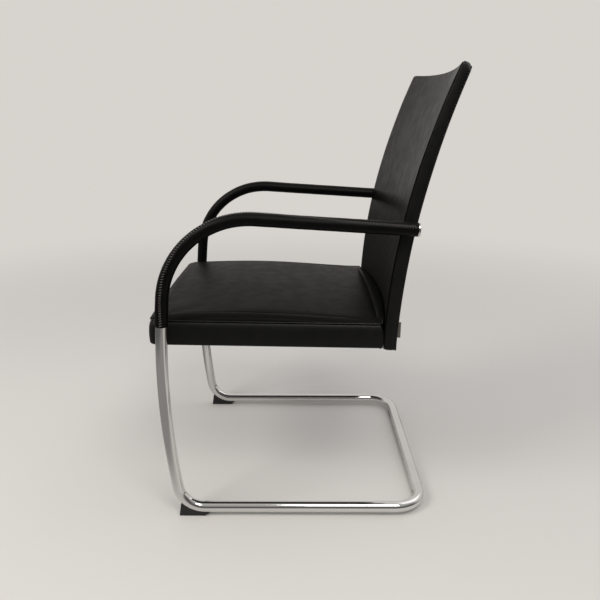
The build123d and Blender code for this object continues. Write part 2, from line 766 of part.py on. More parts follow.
with BuildPart() as rear_pocket:
    add(front_layer(shell_rear_inset, bracket_rear_inset + sleeve_gap))
    add(plate_pockets, mode=Mode.INTERSECT)
    add(screw_rods(0, bracket_plate + bracket_screw_head + 2 * sleeve_gap, bracket_screw_head_r + sleeve_gap))
    add(link_rods(shell_rear_r - back_thick, tee_nut_r + tee_nut_flange + sleeve_gap, tee_nut_flange_r + sleeve_gap))

with BuildPart() as back_rear_foam:
    add(back_inner)
    add(front_layer(-back_seam_inset, shell_rear_inset), mode=Mode.SUBTRACT)
    add(rear_pocket.part, mode=Mode.SUBTRACT)
    add(arm_passages, mode=Mode.SUBTRACT)

with BuildPart() as back_front_cover:
    add(back_outer)
    add(back_inner, mode=Mode.SUBTRACT)
    add(front_layer(-back_seam_inset, back_seam_inset), mode=Mode.INTERSECT)
    add(link_passages, mode=Mode.SUBTRACT)

with BuildPart() as back_rear_cover:
    add(back_outer)
    add(back_inner, mode=Mode.SUBTRACT)
    add(rear_layer(-back_seam_inset, back_seam_inset), mode=Mode.INTERSECT)

with BuildPart() as back_boxing:
    add(back_outer)
    add(back_inner, mode=Mode.SUBTRACT)
    add(front_layer(-back_seam_inset, back_seam_inset), mode=Mode.SUBTRACT)
    add(rear_layer(-back_seam_inset, back_seam_inset), mode=Mode.SUBTRACT)
    add(arm_passages, mode=Mode.SUBTRACT)

# ---- Labels and files -----------------------------------------------------------------------------
# The sitter's left is +X.
single_pieces = {
    "frame_tube": frame_tube.part,
    "glide_screws": glide_screws.part,
    "tube_bushes": tube_bushes.part,
    "leg_spacers": leg_spacers.part,
    "leg_washers": leg_washers.part,
    "leg_bolts": leg_bolts.part,
    "arm_spacers": arm_spacers.part,
    "arm_washers": arm_washers.part,
    "arm_bolts": arm_bolts.part,
    "seat_frame": seat_frame.part,
    "seat_webbing_long": long_webbing.part,
    "seat_webbing_cross": cross_webbing.part,
    "seat_foam": seat_foam.part,
    "seat_top_cover": seat_top_cover.part,
    "seat_boxing": seat_boxing.part,
    "seat_welt": seat_welt.part,
    "seat_dust_cover": seat_dust_cover.part,
    "link_spacers": link_spacers.part,
    "link_washers": link_washers.part,
    "link_bolts": link_bolts.part,
    "link_tee_nuts": link_tee_nuts.part,
    "back_shell": back_shell.part,
    "bracket_screws": bracket_screws.part,
    "back_front_foam": back_front_foam.part,
    "back_rear_foam": back_rear_foam.part,
    "back_front_cover": back_front_cover.part,
    "back_rear_cover": back_rear_cover.part,
    "back_boxing": back_boxing.part,
}
paired_pieces = {
    "arm_sleeve": sleeve.part,
    "arm_end_plug": end_plug.part,
    "front_glide": front_glide.part,
    "rear_glide": rear_glide.part,
}

pieces = dict(single_pieces)
for name, left_piece in paired_pieces.items():
    pieces[name + "_left"] = left_piece
    pieces[name + "_right"] = mirror(left_piece, about=Plane.YZ)
for name, bracket in zip(("arm_bracket_right", "arm_bracket_left"), arm_brackets.solids().sort_by(Axis.X)):
    pieces[name] = Part(bracket.wrapped)

for name, piece in pieces.items():
    piece.label = name
    export_step(piece, f"parts/{name}.step")
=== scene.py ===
from math import asin, atan2, cos, exp, pi, radians, sin, sqrt

import bmesh
import bpy
from mathutils import Matrix, Vector, noise
from mathutils.kdtree import KDTree


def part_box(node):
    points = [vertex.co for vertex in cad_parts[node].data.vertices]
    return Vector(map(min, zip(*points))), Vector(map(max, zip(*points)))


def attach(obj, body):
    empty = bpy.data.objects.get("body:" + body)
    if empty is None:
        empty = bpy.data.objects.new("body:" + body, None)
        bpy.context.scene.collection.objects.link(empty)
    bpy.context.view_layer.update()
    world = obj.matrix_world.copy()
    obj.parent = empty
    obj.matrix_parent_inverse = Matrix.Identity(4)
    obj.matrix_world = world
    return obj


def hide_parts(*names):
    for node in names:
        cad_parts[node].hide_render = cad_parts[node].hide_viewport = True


bl_info = {
    "name": "Cantilever armchair",
    "version": (1, 0, 0),
    "blender": (4, 5, 0),
    "location": "View3D > Sidebar > Armchair",
    "description": "Models the chair's tube, leather, seams and thread round its packed frame",
    "category": "Object",
}

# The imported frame: metres, +Z up, the front faces -Y, the sitter's left is +X.
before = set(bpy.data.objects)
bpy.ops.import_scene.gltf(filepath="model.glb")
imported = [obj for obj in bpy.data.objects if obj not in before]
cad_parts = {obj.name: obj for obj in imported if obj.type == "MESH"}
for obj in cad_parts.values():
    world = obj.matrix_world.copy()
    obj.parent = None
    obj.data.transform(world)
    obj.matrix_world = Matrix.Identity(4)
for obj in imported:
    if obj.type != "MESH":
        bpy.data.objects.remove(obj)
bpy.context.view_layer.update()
tube_low, tube_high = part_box("frame_tube")
UP = Vector((0, 0, 1))
TUBE_RADIUS = 0.0125
# From the legs' front-most axis points to the rear bar's axis.
REAR_BAR_REACH = 0.5776779


# ---- Sizes and colours that a user may change -------------------------------------------------------
def length(label, text, value):
    return bpy.props.FloatProperty(
        name=label, description=text, default=value, precision=4, unit="LENGTH", subtype="DISTANCE"
    )


def angle(label, text, degrees):
    return bpy.props.FloatProperty(name=label, description=text, default=radians(degrees), subtype="ANGLE")


def colour(label, text, value):
    return bpy.props.FloatVectorProperty(
        name=label, description=text, default=value, size=3, min=0.0, max=1.0, subtype="COLOR"
    )


def amount(label, text, value):
    return bpy.props.FloatProperty(
        name=label, description=text, default=value, min=0.0, max=1.0, subtype="FACTOR"
    )


class ArmchairTubeSizes(bpy.types.PropertyGroup):
    radius: length("Tube radius", "Outer radius of the bent tube", TUBE_RADIUS)
    wall: length("Tube wall", "Wall thickness of the bent tube", 0.0025)
    half_spacing: length(
        "Half spacing", "Chair's middle to a side's axis", (tube_high.x - tube_low.x) / 2 - TUBE_RADIUS
    )
    axis_height: length("Axis height", "Floor to the axis of the floor runs", 0.0195)
    rear_bar_y: length("Rear bar place", "Y of the rear floor bar's axis", tube_high.y - TUBE_RADIUS)
    runner_run: length("Runner length", "Rear bar's axis to the start of the foot bend", 0.5005)
    corner_bend: length("Corner bend", "Axis radius of the rear corners", 0.065)
    foot_bend: length("Foot bend", "Axis radius of the bend from runner to leg", 0.060)
    foot_turn: angle("Foot turn", "Turn of the foot bend", 82.1)
    leg_bow: length("Leg bow", "Axis radius of a leg's bow", 1.870)
    leg_turn: angle("Leg turn", "Turn of a leg's bow", 13.7)
    arm_bend: length("Arm bend", "Axis radius of the bend from leg to arm", 0.1824)
    arm_turn: angle("Arm turn", "Turn of the arm bend", 87.6)
    arm_run: length("Arm length", "Straight part of an arm", 0.323023)
    sleeve_start_z: length("Sleeve start", "Height at which the leather sleeve begins", 0.458)
    sleeve_radius: length("Sleeve radius", "Outer radius of the leather sleeve", 0.0137)
    sleeve_wall: length("Sleeve leather", "Thickness of the sleeve's leather", 0.0011)
    stitch_pitch: length("Arm stitch pitch", "Distance between the sleeve's whip stitches", 0.0055)
    thread_radius: length("Thread radius", "Radius of the lacing thread", 0.00080)


class ArmchairSeatSizes(bpy.types.PropertyGroup):
    half_width: length("Half width", "Chair's middle to the seat's side", 0.255)
    nose: length("Nose", "How far the seat's front corners stand ahead of the legs", 0.0308)
    front_bow: length("Front bow", "How far the front edge bows out in its middle", 0.004)
    front_corner: length("Front corner", "Radius of the front corners", 0.020)
    rear_corner: length("Rear corner", "Radius of the rear corners", 0.012)
    rear_middle: length("Rear middle", "Reach of the rear edge in its middle", 0.4919)
    rear_radius: length("Rear radius", "Plan radius of the rear edge", 1.4490)
    bottom_z: length("Bottom height", "Height of the seat's underside at the legs", 0.4088)
    tilt: angle("Tilt", "Fall of the seat towards the back", 0.85)
    boxing: length("Boxing height", "Height of the leather band round the seat", 0.052)
    crown: length("Crown", "Rise of the top above the band in its middle", 0.0243)
    crown_radius: length("Crown radius", "Radius of the crowned top", 3.6)
    rear_fall: length("Rear fall", "How far the top sinks towards the back", 0.0068)
    hem_drop: length("Hem drop", "How far the band hangs below the seat's frame", 0.0013)
    hem_corner: length("Hem corner", "Radius of the rear corners at the band's hem", 0.0026)
    roll: length("Roll", "How far in from its seam the top panel rolls over", 0.0250)
    rear_roll: length("Rear roll", "The same in the middle of the rear edge", 0.0270)
    bottom_rim: length("Bottom rim", "Radius of the band's lower edge", 0.0032)
    piping: length("Piping", "Radius of the piping in the seam", 0.0013)


class ArmchairBackSizes(bpy.types.PropertyGroup):
    bottom_z: length("Bottom height", "Height of the back's lower edge", 0.398)
    top_z: length("Top height", "Height of the back's top corners", 0.9766)
    top_dip: length("Top dip", "How far the top edge dips in its middle", 0.0084)
    half_foot: length("Half foot", "Half width at the lower edge", 0.255)
    half_head: length("Half head", "Half width at the top edge", 0.2495)
    corner: length("Top corner", "Radius of the top corners at the front", 0.006)
    rear_corner: length("Top rear corner", "Radius of the top corners at the rear", 0.019)
    plumb_reach: length("Plumb reach", "Reach of the front face where it is upright", 0.4917)
    plumb_z: length("Plumb height", "Height at which the front face is upright", 0.3682)
    lean_radius: length("Lean radius", "Side-view radius of the front face", 1.535)
    rear_z: length("Rear plumb height", "Height at which the rear face is upright", 0.3472)
    rear_radius: length("Rear radius", "Side-view radius of the rear face", 1.698)
    thick: length("Thickness", "Thickness at the lower edge", 0.0277)
    hollow: length("Hollow radius", "Plan radius of the hollow front face", 1.450)
    swell: length("Swell", "How far the front swells at mid-height", 0.0010)
    edge: length("Edge", "Radius of the side edges", 0.0011)
    top_edge: length("Top edge", "Radius of the top edge at the front", 0.0044)
    top_rear_edge: length("Top rear edge", "Radius of the top edge at the rear", 0.0100)
    top_fall: length("Top fall", "How far the top edge falls from front to rear", 0.0065)
    stitch_pitch: length("Back stitch pitch", "Distance between the whip stitches of the rear edge", 0.0060)


class ArmchairFinishes(bpy.types.PropertyGroup):
    leather: colour("Leather", "Dye of the black leather", (0.0022, 0.0021, 0.0020))
    leather_worn: colour("Leather highs", "Dye where the grain's tops are rubbed", (0.0062, 0.0056, 0.0049))
    # Much lighter than the thread's own near-black: the glints of the arm stitches are painted into this
    # colour.
    thread: colour("Thread", "Waxed lacing thread", (0.105, 0.098, 0.088))
    chrome: colour("Chrome", "Bright plated steel", (0.74, 0.735, 0.73))
    plastic: colour("Plastic", "Black glides", (0.0035, 0.0035, 0.0036))
    tag: colour("Tag", "Woven bare tag", (0.115, 0.098, 0.085))
    floor: colour("Floor", "Pale studio floor", (0.66, 0.635, 0.60))
    backdrop: colour("Backdrop", "Pale studio backdrop", (0.68, 0.655, 0.62))
    grain_depth: amount("Grain depth", "Strength of the leather's grain", 0.75)


def tube_sizes():
    return bpy.context.scene.armchair_tube


def seat_sizes():
    return bpy.context.scene.armchair_seat


def back_sizes():
    return bpy.context.scene.armchair_back


def finishes():
    return bpy.context.scene.armchair_finishes


def leg_line():
    """Y of the legs' front-most axis points, from which every reach is measured."""
    return tube_sizes().rear_bar_y - REAR_BAR_REACH


# ---- Modelling by hand --------------------------------------------------------------------------------
def deselect():
    if bpy.context.object and bpy.context.object.mode != "OBJECT":
        bpy.ops.object.mode_set(mode="OBJECT")
    bpy.ops.object.select_all(action="DESELECT")


def activate(piece):
    deselect()
    piece.select_set(True)
    bpy.context.view_layer.objects.active = piece


def new_piece(name):
    """Names the primitive that was just added and settles it at the origin."""
    piece = bpy.context.object
    piece.name = name
    piece.data.name = name
    bpy.ops.object.transform_apply(location=True, rotation=True, scale=True)
    return piece


def modify(piece, kind, **settings):
    """Adds a modifier and applies it."""
    activate(piece)
    bpy.ops.object.modifier_add(type=kind)
    modifier = piece.modifiers[-1]
    for name, value in settings.items():
        setattr(modifier, name, value)
    bpy.ops.object.modifier_apply(modifier=modifier.name)


def smooth(piece, degrees=40):
    activate(piece)
    bpy.ops.object.shade_smooth_by_angle(angle=radians(degrees))


def close_up(piece, gap=1e-6):
    """Merges doubles and turns every face outward."""
    activate(piece)
    bpy.ops.object.mode_set(mode="EDIT")
    bpy.ops.mesh.select_all(action="SELECT")
    bpy.ops.mesh.remove_doubles(threshold=gap)
    bpy.ops.mesh.normals_make_consistent(inside=False)
    bpy.ops.object.mode_set(mode="OBJECT")


def mirror(piece):
    """Turns a piece made for the left side into the right side's."""
    piece.data.transform(Matrix.Scale(-1, 4, (1, 0, 0)))
    piece.data.flip_normals()


def placed(x_axis, y_axis, z_axis, spot):
    """A placement at a spot, turned to three directions."""
    place = Matrix((x_axis, y_axis, z_axis)).transposed().to_4x4()
    place.translation = spot
    return place


def repeated(pattern, places, name):
    """One piece made of a copy of the pattern at each place. The pattern is used up."""
    gathered = bmesh.new()
    for place in places:
        count = len(gathered.verts)
        gathered.from_mesh(pattern.data)
        gathered.verts.ensure_lookup_table()
        bmesh.ops.transform(gathered, matrix=place, verts=gathered.verts[count:])
    mesh = bpy.data.meshes.new(name)
    gathered.to_mesh(mesh)
    gathered.free()
    piece = bpy.data.objects.new(name, mesh)
    bpy.context.collection.objects.link(piece)
    bpy.data.objects.remove(pattern)
    return piece


def clamped(value):
    return min(max(value, 0.0), 1.0)


def eased(value):
    """A smooth rise from 0 to 1 as the value goes from 0 to 1."""
    share = clamped(value)
    return share * share * (3 - 2 * share)


class Bender:
    """Feeds what is selected in edit mode along runs and bends, as a tube bender does."""

    def __init__(self, at, heading):
        self.at, self.heading = Vector(at), Vector(heading).normalized()

    def run(self, distance, cuts=1):
        step = self.heading * (distance / cuts)
        for _ in range(cuts):
            bpy.ops.mesh.extrude_region_move(TRANSFORM_OT_translate={"value": step})
        self.at += step * cuts

    def bend(self, radius, turn, toward, steps):
        centre = self.at + toward * radius
        axis = self.heading.cross(toward)
        bpy.ops.mesh.spin(steps=steps, angle=-turn, center=centre, axis=axis, dupli=False)
        swing = Matrix.Rotation(turn, 3, axis)
        self.at = centre + swing @ (self.at - centre)
        self.heading = swing @ self.heading
        return swing @ toward


def start_ring(name, at, heading, radius, sides):
    """A ring across the heading, left in edit mode and selected, ready for the bender."""
    deselect()
    turn = Vector(heading).to_track_quat("Z", "Y").to_euler()
    bpy.ops.mesh.primitive_circle_add(vertices=sides, radius=radius, location=at, rotation=turn)
    piece = new_piece(name)
    bpy.ops.object.mode_set(mode="EDIT")
    bpy.ops.mesh.select_all(action="SELECT")
    return piece


def finish_piece(piece, finish, slot, *nodes):
    """Gives a piece its finish and its body, and hides the CAD nodes that it stands for."""
    piece.data.materials.clear()
    piece.data.materials.append(FINISH[finish])
    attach(piece, "root")
    if nodes:
        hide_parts(*nodes)


# ---- The tube's line ----------------------------------------------------------------------------------
def leg_lean(z):
    """Lean of a leg at height z, and the reach of its axis there."""
    s = tube_sizes()
    foot_lean = pi / 2 - s.foot_turn
    foot_z = s.axis_height + s.foot_bend * (1 - cos(s.foot_turn))
    lean = asin((z - foot_z - s.leg_bow * sin(foot_lean)) / s.leg_bow)
    return lean, s.leg_bow * (1 - cos(lean))


def sleeve_stretches():
    """Lengths of the sleeve's three stretches, and its start, heading and side of the first bend."""
    s = tube_sizes()
    lean, reach = leg_lean(s.sleeve_start_z)
    head_lean = s.leg_turn - (pi / 2 - s.foot_turn)
    start = Vector((s.half_spacing, leg_line() + reach, s.sleeve_start_z))
    heading = Vector((0, sin(lean), cos(lean)))
    inward = Vector((0, cos(lean), -sin(lean)))
    runs = (s.leg_bow * (head_lean - lean), s.arm_bend * s.arm_turn, s.arm_run)
    return runs, start, heading, inward


def sleeve_line(distance):
    """Point, heading and inward side of the sleeve's axis at a distance from its start."""
    s = tube_sizes()
    runs, at, heading, inward = sleeve_stretches()
    for run, radius in zip(runs[:2], (s.leg_bow, s.arm_bend)):
        part = min(distance, run)
        swing = Matrix.Rotation(part / radius, 3, heading.cross(inward))
        centre = at + inward * radius
        at = centre - (swing @ inward) * radius
        heading, inward = swing @ heading, swing @ inward
        distance -= part
    return at + heading * distance, heading, inward


# The sleeve's seam: distances along the sleeve, and the seam's angle at each in degrees.
SEAM_KEYS = (
    (0.0, -4), (0.06, 8), (0.13, 24), (0.20, 47), (0.28, 82), (0.35, 92), (0.43, 62), (0.53, 39), (0.68, 31)
)


def seam_angle(distance, drift):
    """Angle of the sleeve's seam from outboard towards the outside of the bend."""
    for (a, low), (b, high) in zip(SEAM_KEYS, SEAM_KEYS[1:]):
        if distance <= b:
            return radians(low + (high - low) * eased((distance - a) / (b - a))) * drift
    return radians(SEAM_KEYS[-1][1]) * drift


# ---- Outlines and panels ------------------------------------------------------------------------------
# Points along each of an outline's four sides, and the extra length that a radian of a corner counts for.
SPAN = 54
CORNER_CARE = 0.05
BACK_FOOT_RADIUS = 0.004


class Outline:
    """Closed outline made of runs and arcs, walked anticlockwise, with an outward side at every point."""

    def __init__(self, at, heading):
        self.at, self.heading = Vector(at), heading
        self.points, self.weights, self.marks = [(Vector(at), heading)], [0.0], []

    def step(self, distance, turn, care):
        """One short chord, walked at the mean of its two headings."""
        middle = self.heading + turn / 2
        self.at += Vector((cos(middle), sin(middle))) * distance
        self.heading += turn
        self.points.append((self.at.copy(), self.heading))
        self.weights.append(self.weights[-1] + abs(distance) + care)

    def run(self, distance, parts=60):
        for _ in range(parts):
            self.step(distance / parts, 0.0, 0.0)

    def arc(self, radius, turn, parts=24, corner=False):
        """An arc to the left, or to the right where radius and turn are both negative."""
        chord = 2 * radius * sin(turn / parts / 2)
        for i in range(parts):
            if corner and i == parts // 2:
                self.marks.append(self.weights[-1])
            self.step(chord, turn / parts, CORNER_CARE * turn / parts if corner else 0.0)

    def sample(self, weight):
        """Point and outward side at a weight along the walk."""
        weight = weight % self.weights[-1]
        low, high = 0, len(self.weights) - 1
        while high - low > 1:
            middle = (low + high) // 2
            if self.weights[middle] <= weight:
                low = middle
            else:
                high = middle
        share = (weight - self.weights[low]) / (self.weights[high] - self.weights[low])
        (a, ha), (b, hb) = self.points[low], self.points[high]
        heading = ha + (hb - ha) * share
        return a.lerp(b, share), Vector((sin(heading), -cos(heading)))

    def ring(self):
        """SPAN points along each of the four sides, from the middle of one corner to the next."""
        stops = self.marks + [self.marks[0] + self.weights[-1]]
        found = []
        for a, b in zip(stops, stops[1:]):
            found += [self.sample(a + (b - a) * i / SPAN) for i in range(SPAN)]
        return found


def seat_outline(rear_corner):
    """The seat's plan: bowed front, rounded corners, rear edge along the hollow back."""
    s = seat_sizes()
    front_r = (s.half_width**2 + s.front_bow**2) / (2 * s.front_bow)
    front_centre = front_r - s.nose - s.front_bow
    inner = s.half_width - s.front_corner
    front_y = front_centre - sqrt((front_r - s.front_corner) ** 2 - inner**2)
    front_turn = asin(inner / (front_r - s.front_corner))
    rear_inner = s.half_width - rear_corner
    rear_centre = s.rear_middle - s.rear_radius
    rear_y = rear_centre + sqrt((s.rear_radius - rear_corner) ** 2 - rear_inner**2)
    rear_turn = asin(rear_inner / (s.rear_radius - rear_corner))
    line = Outline((0, -s.nose - s.front_bow), 0.0)
    line.arc(front_r, front_turn)
    line.arc(s.front_corner, pi / 2 - front_turn, corner=True)
    line.run(rear_y - front_y)
    line.arc(rear_corner, pi / 2 - rear_turn, corner=True)
    line.arc(s.rear_radius, 2 * rear_turn, parts=60)
    line.arc(rear_corner, pi / 2 - rear_turn, corner=True)
    line.run(rear_y - front_y)
    line.arc(s.front_corner, pi / 2 - front_turn, corner=True)
    line.arc(front_r, front_turn)
    return line.ring()


def back_outline(corner):
    """The back's front view: tapered sides, rounded top corners and a top edge that dips in its middle."""
    s = back_sizes()
    lean = atan2(s.half_foot - s.half_head, s.top_z - s.bottom_z)
    foot_turn = pi / 2 + lean
    foot_tangent = BACK_FOOT_RADIUS * sin(foot_turn) / (1 + cos(foot_turn))
    # The dip's arc is struck from above the back, and each top corner's arc lies inside it and the side.
    dip_r = (s.half_head**2 + s.top_dip**2) / (2 * s.top_dip)
    dip_z = s.top_z - s.top_dip + dip_r
    side_dir = Vector((-sin(lean), cos(lean)))
    foot_corner = Vector((s.half_foot, s.bottom_z))
    inner = foot_corner + Vector((-cos(lean), -sin(lean))) * corner
    # The corner's centre lies on the side's line drawn in by its radius, and its radius below the dip's arc.
    low, high = 0.0, s.top_z
    for _ in range(60):
        middle = (low + high) / 2
        centre = inner + side_dir * middle
        if (centre - Vector((0, dip_z))).length > dip_r + corner:
            low = middle
        else:
            high = middle
    down = (centre - Vector((0, dip_z))).normalized()
    swing = atan2(down.x, -down.y)
    head_turn = pi / 2 + swing - lean
    side = low - foot_tangent
    line = Outline((0, s.bottom_z), 0.0)
    line.run(s.half_foot - foot_tangent)
    line.arc(BACK_FOOT_RADIUS, foot_turn, corner=True)
    line.run(side)
    line.arc(corner, head_turn, corner=True)
    line.arc(-dip_r, -2 * swing, parts=60)
    line.arc(corner, head_turn, corner=True)
    line.run(side)
    line.arc(BACK_FOOT_RADIUS, foot_turn, corner=True)
    line.run(s.half_foot - foot_tangent)
    return line.ring()


def patch(border):
    """Grid of points that fills a closed border: rows from south to north."""
    sides = [[border[(k * SPAN + i) % len(border)] for i in range(SPAN + 1)] for k in range(4)]
    e, n, w, s = sides[0], sides[1][::-1], sides[2][::-1], sides[3]
    rows = []
    for j in range(SPAN + 1):
        v = j / SPAN
        row = []
        for i in range(SPAN + 1):
            u = i / SPAN
            ruled = s[i] * (1 - v) + n[i] * v + w[j] * (1 - u) + e[j] * u
            south = s[0] * ((1 - u) * (1 - v)) + s[-1] * (u * (1 - v))
            row.append(ruled - (south + n[0] * ((1 - u) * v) + n[-1] * (u * v)))
        rows.append(row)
    return rows


def panel(name, border, place):
    """A square grid shaped to a flat border. place(point) gives each point's spot in space."""
    deselect()
    bpy.ops.mesh.primitive_grid_add(x_subdivisions=SPAN, y_subdivisions=SPAN, size=2)
    piece = new_piece(name)
    rows = patch(border)
    for vertex in piece.data.vertices:
        i, j = round((vertex.co.x + 1) / 2 * SPAN), round((vertex.co.y + 1) / 2 * SPAN)
        vertex.co = place(rows[j][i])
    return piece


def draw_loops(piece, ring, steps, place):
    """Draws the piece's open border out: place(ring entry, step) gives each new loop's points."""
    activate(piece)
    bpy.ops.object.mode_set(mode="EDIT")
    bpy.ops.mesh.select_all(action="DESELECT")
    bpy.ops.mesh.select_mode(type="EDGE")
    bpy.ops.mesh.select_non_manifold()
    shape = bmesh.from_edit_mesh(piece.data)
    order = shape.verts.layers.int.new("ring_place")
    tree = KDTree(len(ring))
    for spot, entry in enumerate(ring):
        tree.insert(place(entry, steps[0]), spot)
    tree.balance()
    for vertex in shape.verts:
        if vertex.select:
            vertex[order] = tree.find(vertex.co)[1]
    for step in steps[1:]:
        bpy.ops.mesh.extrude_edges_move(TRANSFORM_OT_translate={"value": (0, 0, 0)})
        shape = bmesh.from_edit_mesh(piece.data)
        order = shape.verts.layers.int["ring_place"]
        for vertex in shape.verts:
            if vertex.select:
                vertex.co = place(ring[vertex[order]], step)
        bmesh.update_edit_mesh(piece.data)
    bpy.ops.object.mode_set(mode="OBJECT")
    piece.data.attributes.remove(piece.data.attributes["ring_place"])


def band(name, ring, steps, place, wall=0.0013):
    """An upholstery band that runs round the outline, with the leather's thickness."""
    deselect()
    bpy.ops.mesh.primitive_circle_add(vertices=len(ring), radius=1)
    piece = new_piece(name)
    for vertex, entry in zip(piece.data.vertices, ring):
        vertex.co = place(entry, steps[0])
    draw_loops(piece, ring, steps, place)
    close_up(piece)
    modify(piece, "SUBSURF", levels=1, render_levels=1)
    if wall:
        modify(piece, "SOLIDIFY", thickness=wall, offset=-1)
    return piece


def pad(face, ring, steps, place, hidden_border, hidden_place):
    """Rolls a face panel's border over to its seam and closes its hidden side with a second panel."""
    draw_loops(face, ring, steps, place)
    lining = panel(face.name + "_lining", hidden_border, hidden_place)
    activate(face)
    lining.select_set(True)
    bpy.ops.object.join()
    close_up(face, 2e-5)


CLOTH_FRAMES = 20


def puff(piece, sewn, cap):
    """Fills a pad by cloth simulation: its seams are held and its face swells, by no more than the cap."""
    start = [vertex.co.copy() for vertex in piece.data.vertices]
    held = piece.vertex_groups.new(name="sewn")
    held.add([vertex.index for vertex in piece.data.vertices if sewn(vertex.co)], 1.0, "REPLACE")
    activate(piece)
    bpy.ops.object.modifier_add(type="CLOTH")
    cloth = piece.modifiers[-1]
    c = cloth.settings
    c.quality, c.mass, c.air_damping = 6, 0.3, 3.0
    c.tension_stiffness = c.compression_stiffness = 30
    c.shear_stiffness, c.bending_stiffness = 12, 4.0
    c.use_pressure, c.uniform_pressure_force = True, 4.0
    c.effector_weights.gravity = 0.0
    c.vertex_group_mass = held.name
    cloth.collision_settings.use_collision = False
    cloth.point_cache.frame_start, cloth.point_cache.frame_end = 1, CLOTH_FRAMES
    for number in range(1, CLOTH_FRAMES + 1):
        bpy.context.scene.frame_set(number)
    bpy.ops.object.modifier_apply(modifier=cloth.name)
    for vertex, home in zip(piece.data.vertices, start):
        move = vertex.co - home
        if move.length > 1e-7:
            vertex.co = home + move.normalized() * cap * (1 - exp(-move.length / cap))
    piece.vertex_groups.clear()
    bpy.context.scene.frame_set(1)


def soft_swell(piece, height, scale, direction, seed):
    """Low, uneven swelling of a leather surface, fixed by its place."""
    for vertex in piece.data.vertices:
        spot = vertex.co * scale + Vector((seed, seed * 0.7, seed * 1.3))
        vertex.co += direction * (noise.noise(spot) * height)


# ---- Materials ----------------------------------------------------------------------------------------
class Nodes:
    """Short ways to add and join nodes in one tree."""

    def __init__(self, tree):
        self.tree = tree

    def add(self, kind, **settings):
        node = self.tree.nodes.new(kind)
        for name, value in settings.items():
            setattr(node, name, value)
        return node

    def join(self, source, target):
        self.tree.links.new(source, target)

    def feed(self, node, **inputs):
        """Sets a node's inputs, by name, to values or to other nodes' outputs."""
        for name, value in inputs.items():
            socket = node.inputs[name.replace("_", " ")]
            if isinstance(value, bpy.types.NodeSocket):
                self.join(value, socket)
            else:
                socket.default_value = value
        return node

    def maths(self, operation, a, b=None, clamp=False):
        node = self.add("ShaderNodeMath", operation=operation, use_clamp=clamp)
        for socket, value in zip(node.inputs, (a, b)):
            if isinstance(value, bpy.types.NodeSocket):
                self.join(value, socket)
            elif value is not None:
                socket.default_value = value
        return node.outputs[0]

    def ranged(self, value, low, high, to_low=0.0, to_high=1.0, straight=False):
        """The value's place between low and high, as a number between to_low and to_high."""
        node = self.add("ShaderNodeMapRange", interpolation_type="LINEAR" if straight else "SMOOTHSTEP")
        self.join(value, node.inputs["Value"])
        for name, number in zip(("From Min", "From Max", "To Min", "To Max"), (low, high, to_low, to_high)):
            node.inputs[name].default_value = number
        return node.outputs["Result"]

    def mixed(self, share, a, b):
        node = self.add("ShaderNodeMix", data_type="RGBA")
        self.join(share, node.inputs["Factor"])
        colours = [i for i in node.inputs if i.type == "RGBA"]
        for socket, value in zip(colours, (a, b)):
            if isinstance(value, bpy.types.NodeSocket):
                self.join(value, socket)
            else:
                socket.default_value = (*value[:3], 1)
        return [o for o in node.outputs if o.type == "RGBA"][0]

    def mixed_shaders(self, share, a, b):
        node = self.add("ShaderNodeMixShader")
        for socket, source in zip(node.inputs, (share, a, b)):
            self.join(source, socket)
        return node.outputs[0]

    def where(self):
        """The spot on the piece, from its own origin."""
        return self.add("ShaderNodeTexCoord").outputs["Object"]

    def clouds(self, where, scale, detail, **more):
        """Soft, uneven patches between 0 and 1."""
        node = self.add("ShaderNodeTexNoise")
        return self.feed(node, Vector=where, Scale=scale, Detail=detail, **more).outputs[0]


def material(name):
    """A new material, and the helper that fills its empty tree."""
    made = bpy.data.materials.new(name)
    made.use_nodes = True
    made.node_tree.nodes.clear()
    return made, Nodes(made.node_tree)


def group(name, inputs, outputs):
    """A new shader node group with named sockets, and its nodes."""
    tree = bpy.data.node_groups.new(name, "ShaderNodeTree")
    for label, kind, value in inputs:
        socket = tree.interface.new_socket(name=label, in_out="INPUT", socket_type=kind)
        if value is not None:
            socket.default_value = value
    for label, kind in outputs:
        tree.interface.new_socket(name=label, in_out="OUTPUT", socket_type=kind)
    nodes = Nodes(tree)
    return tree, nodes, nodes.add("NodeGroupInput"), nodes.add("NodeGroupOutput")


FLOAT, VECTOR = "NodeSocketFloat", "NodeSocketVector"


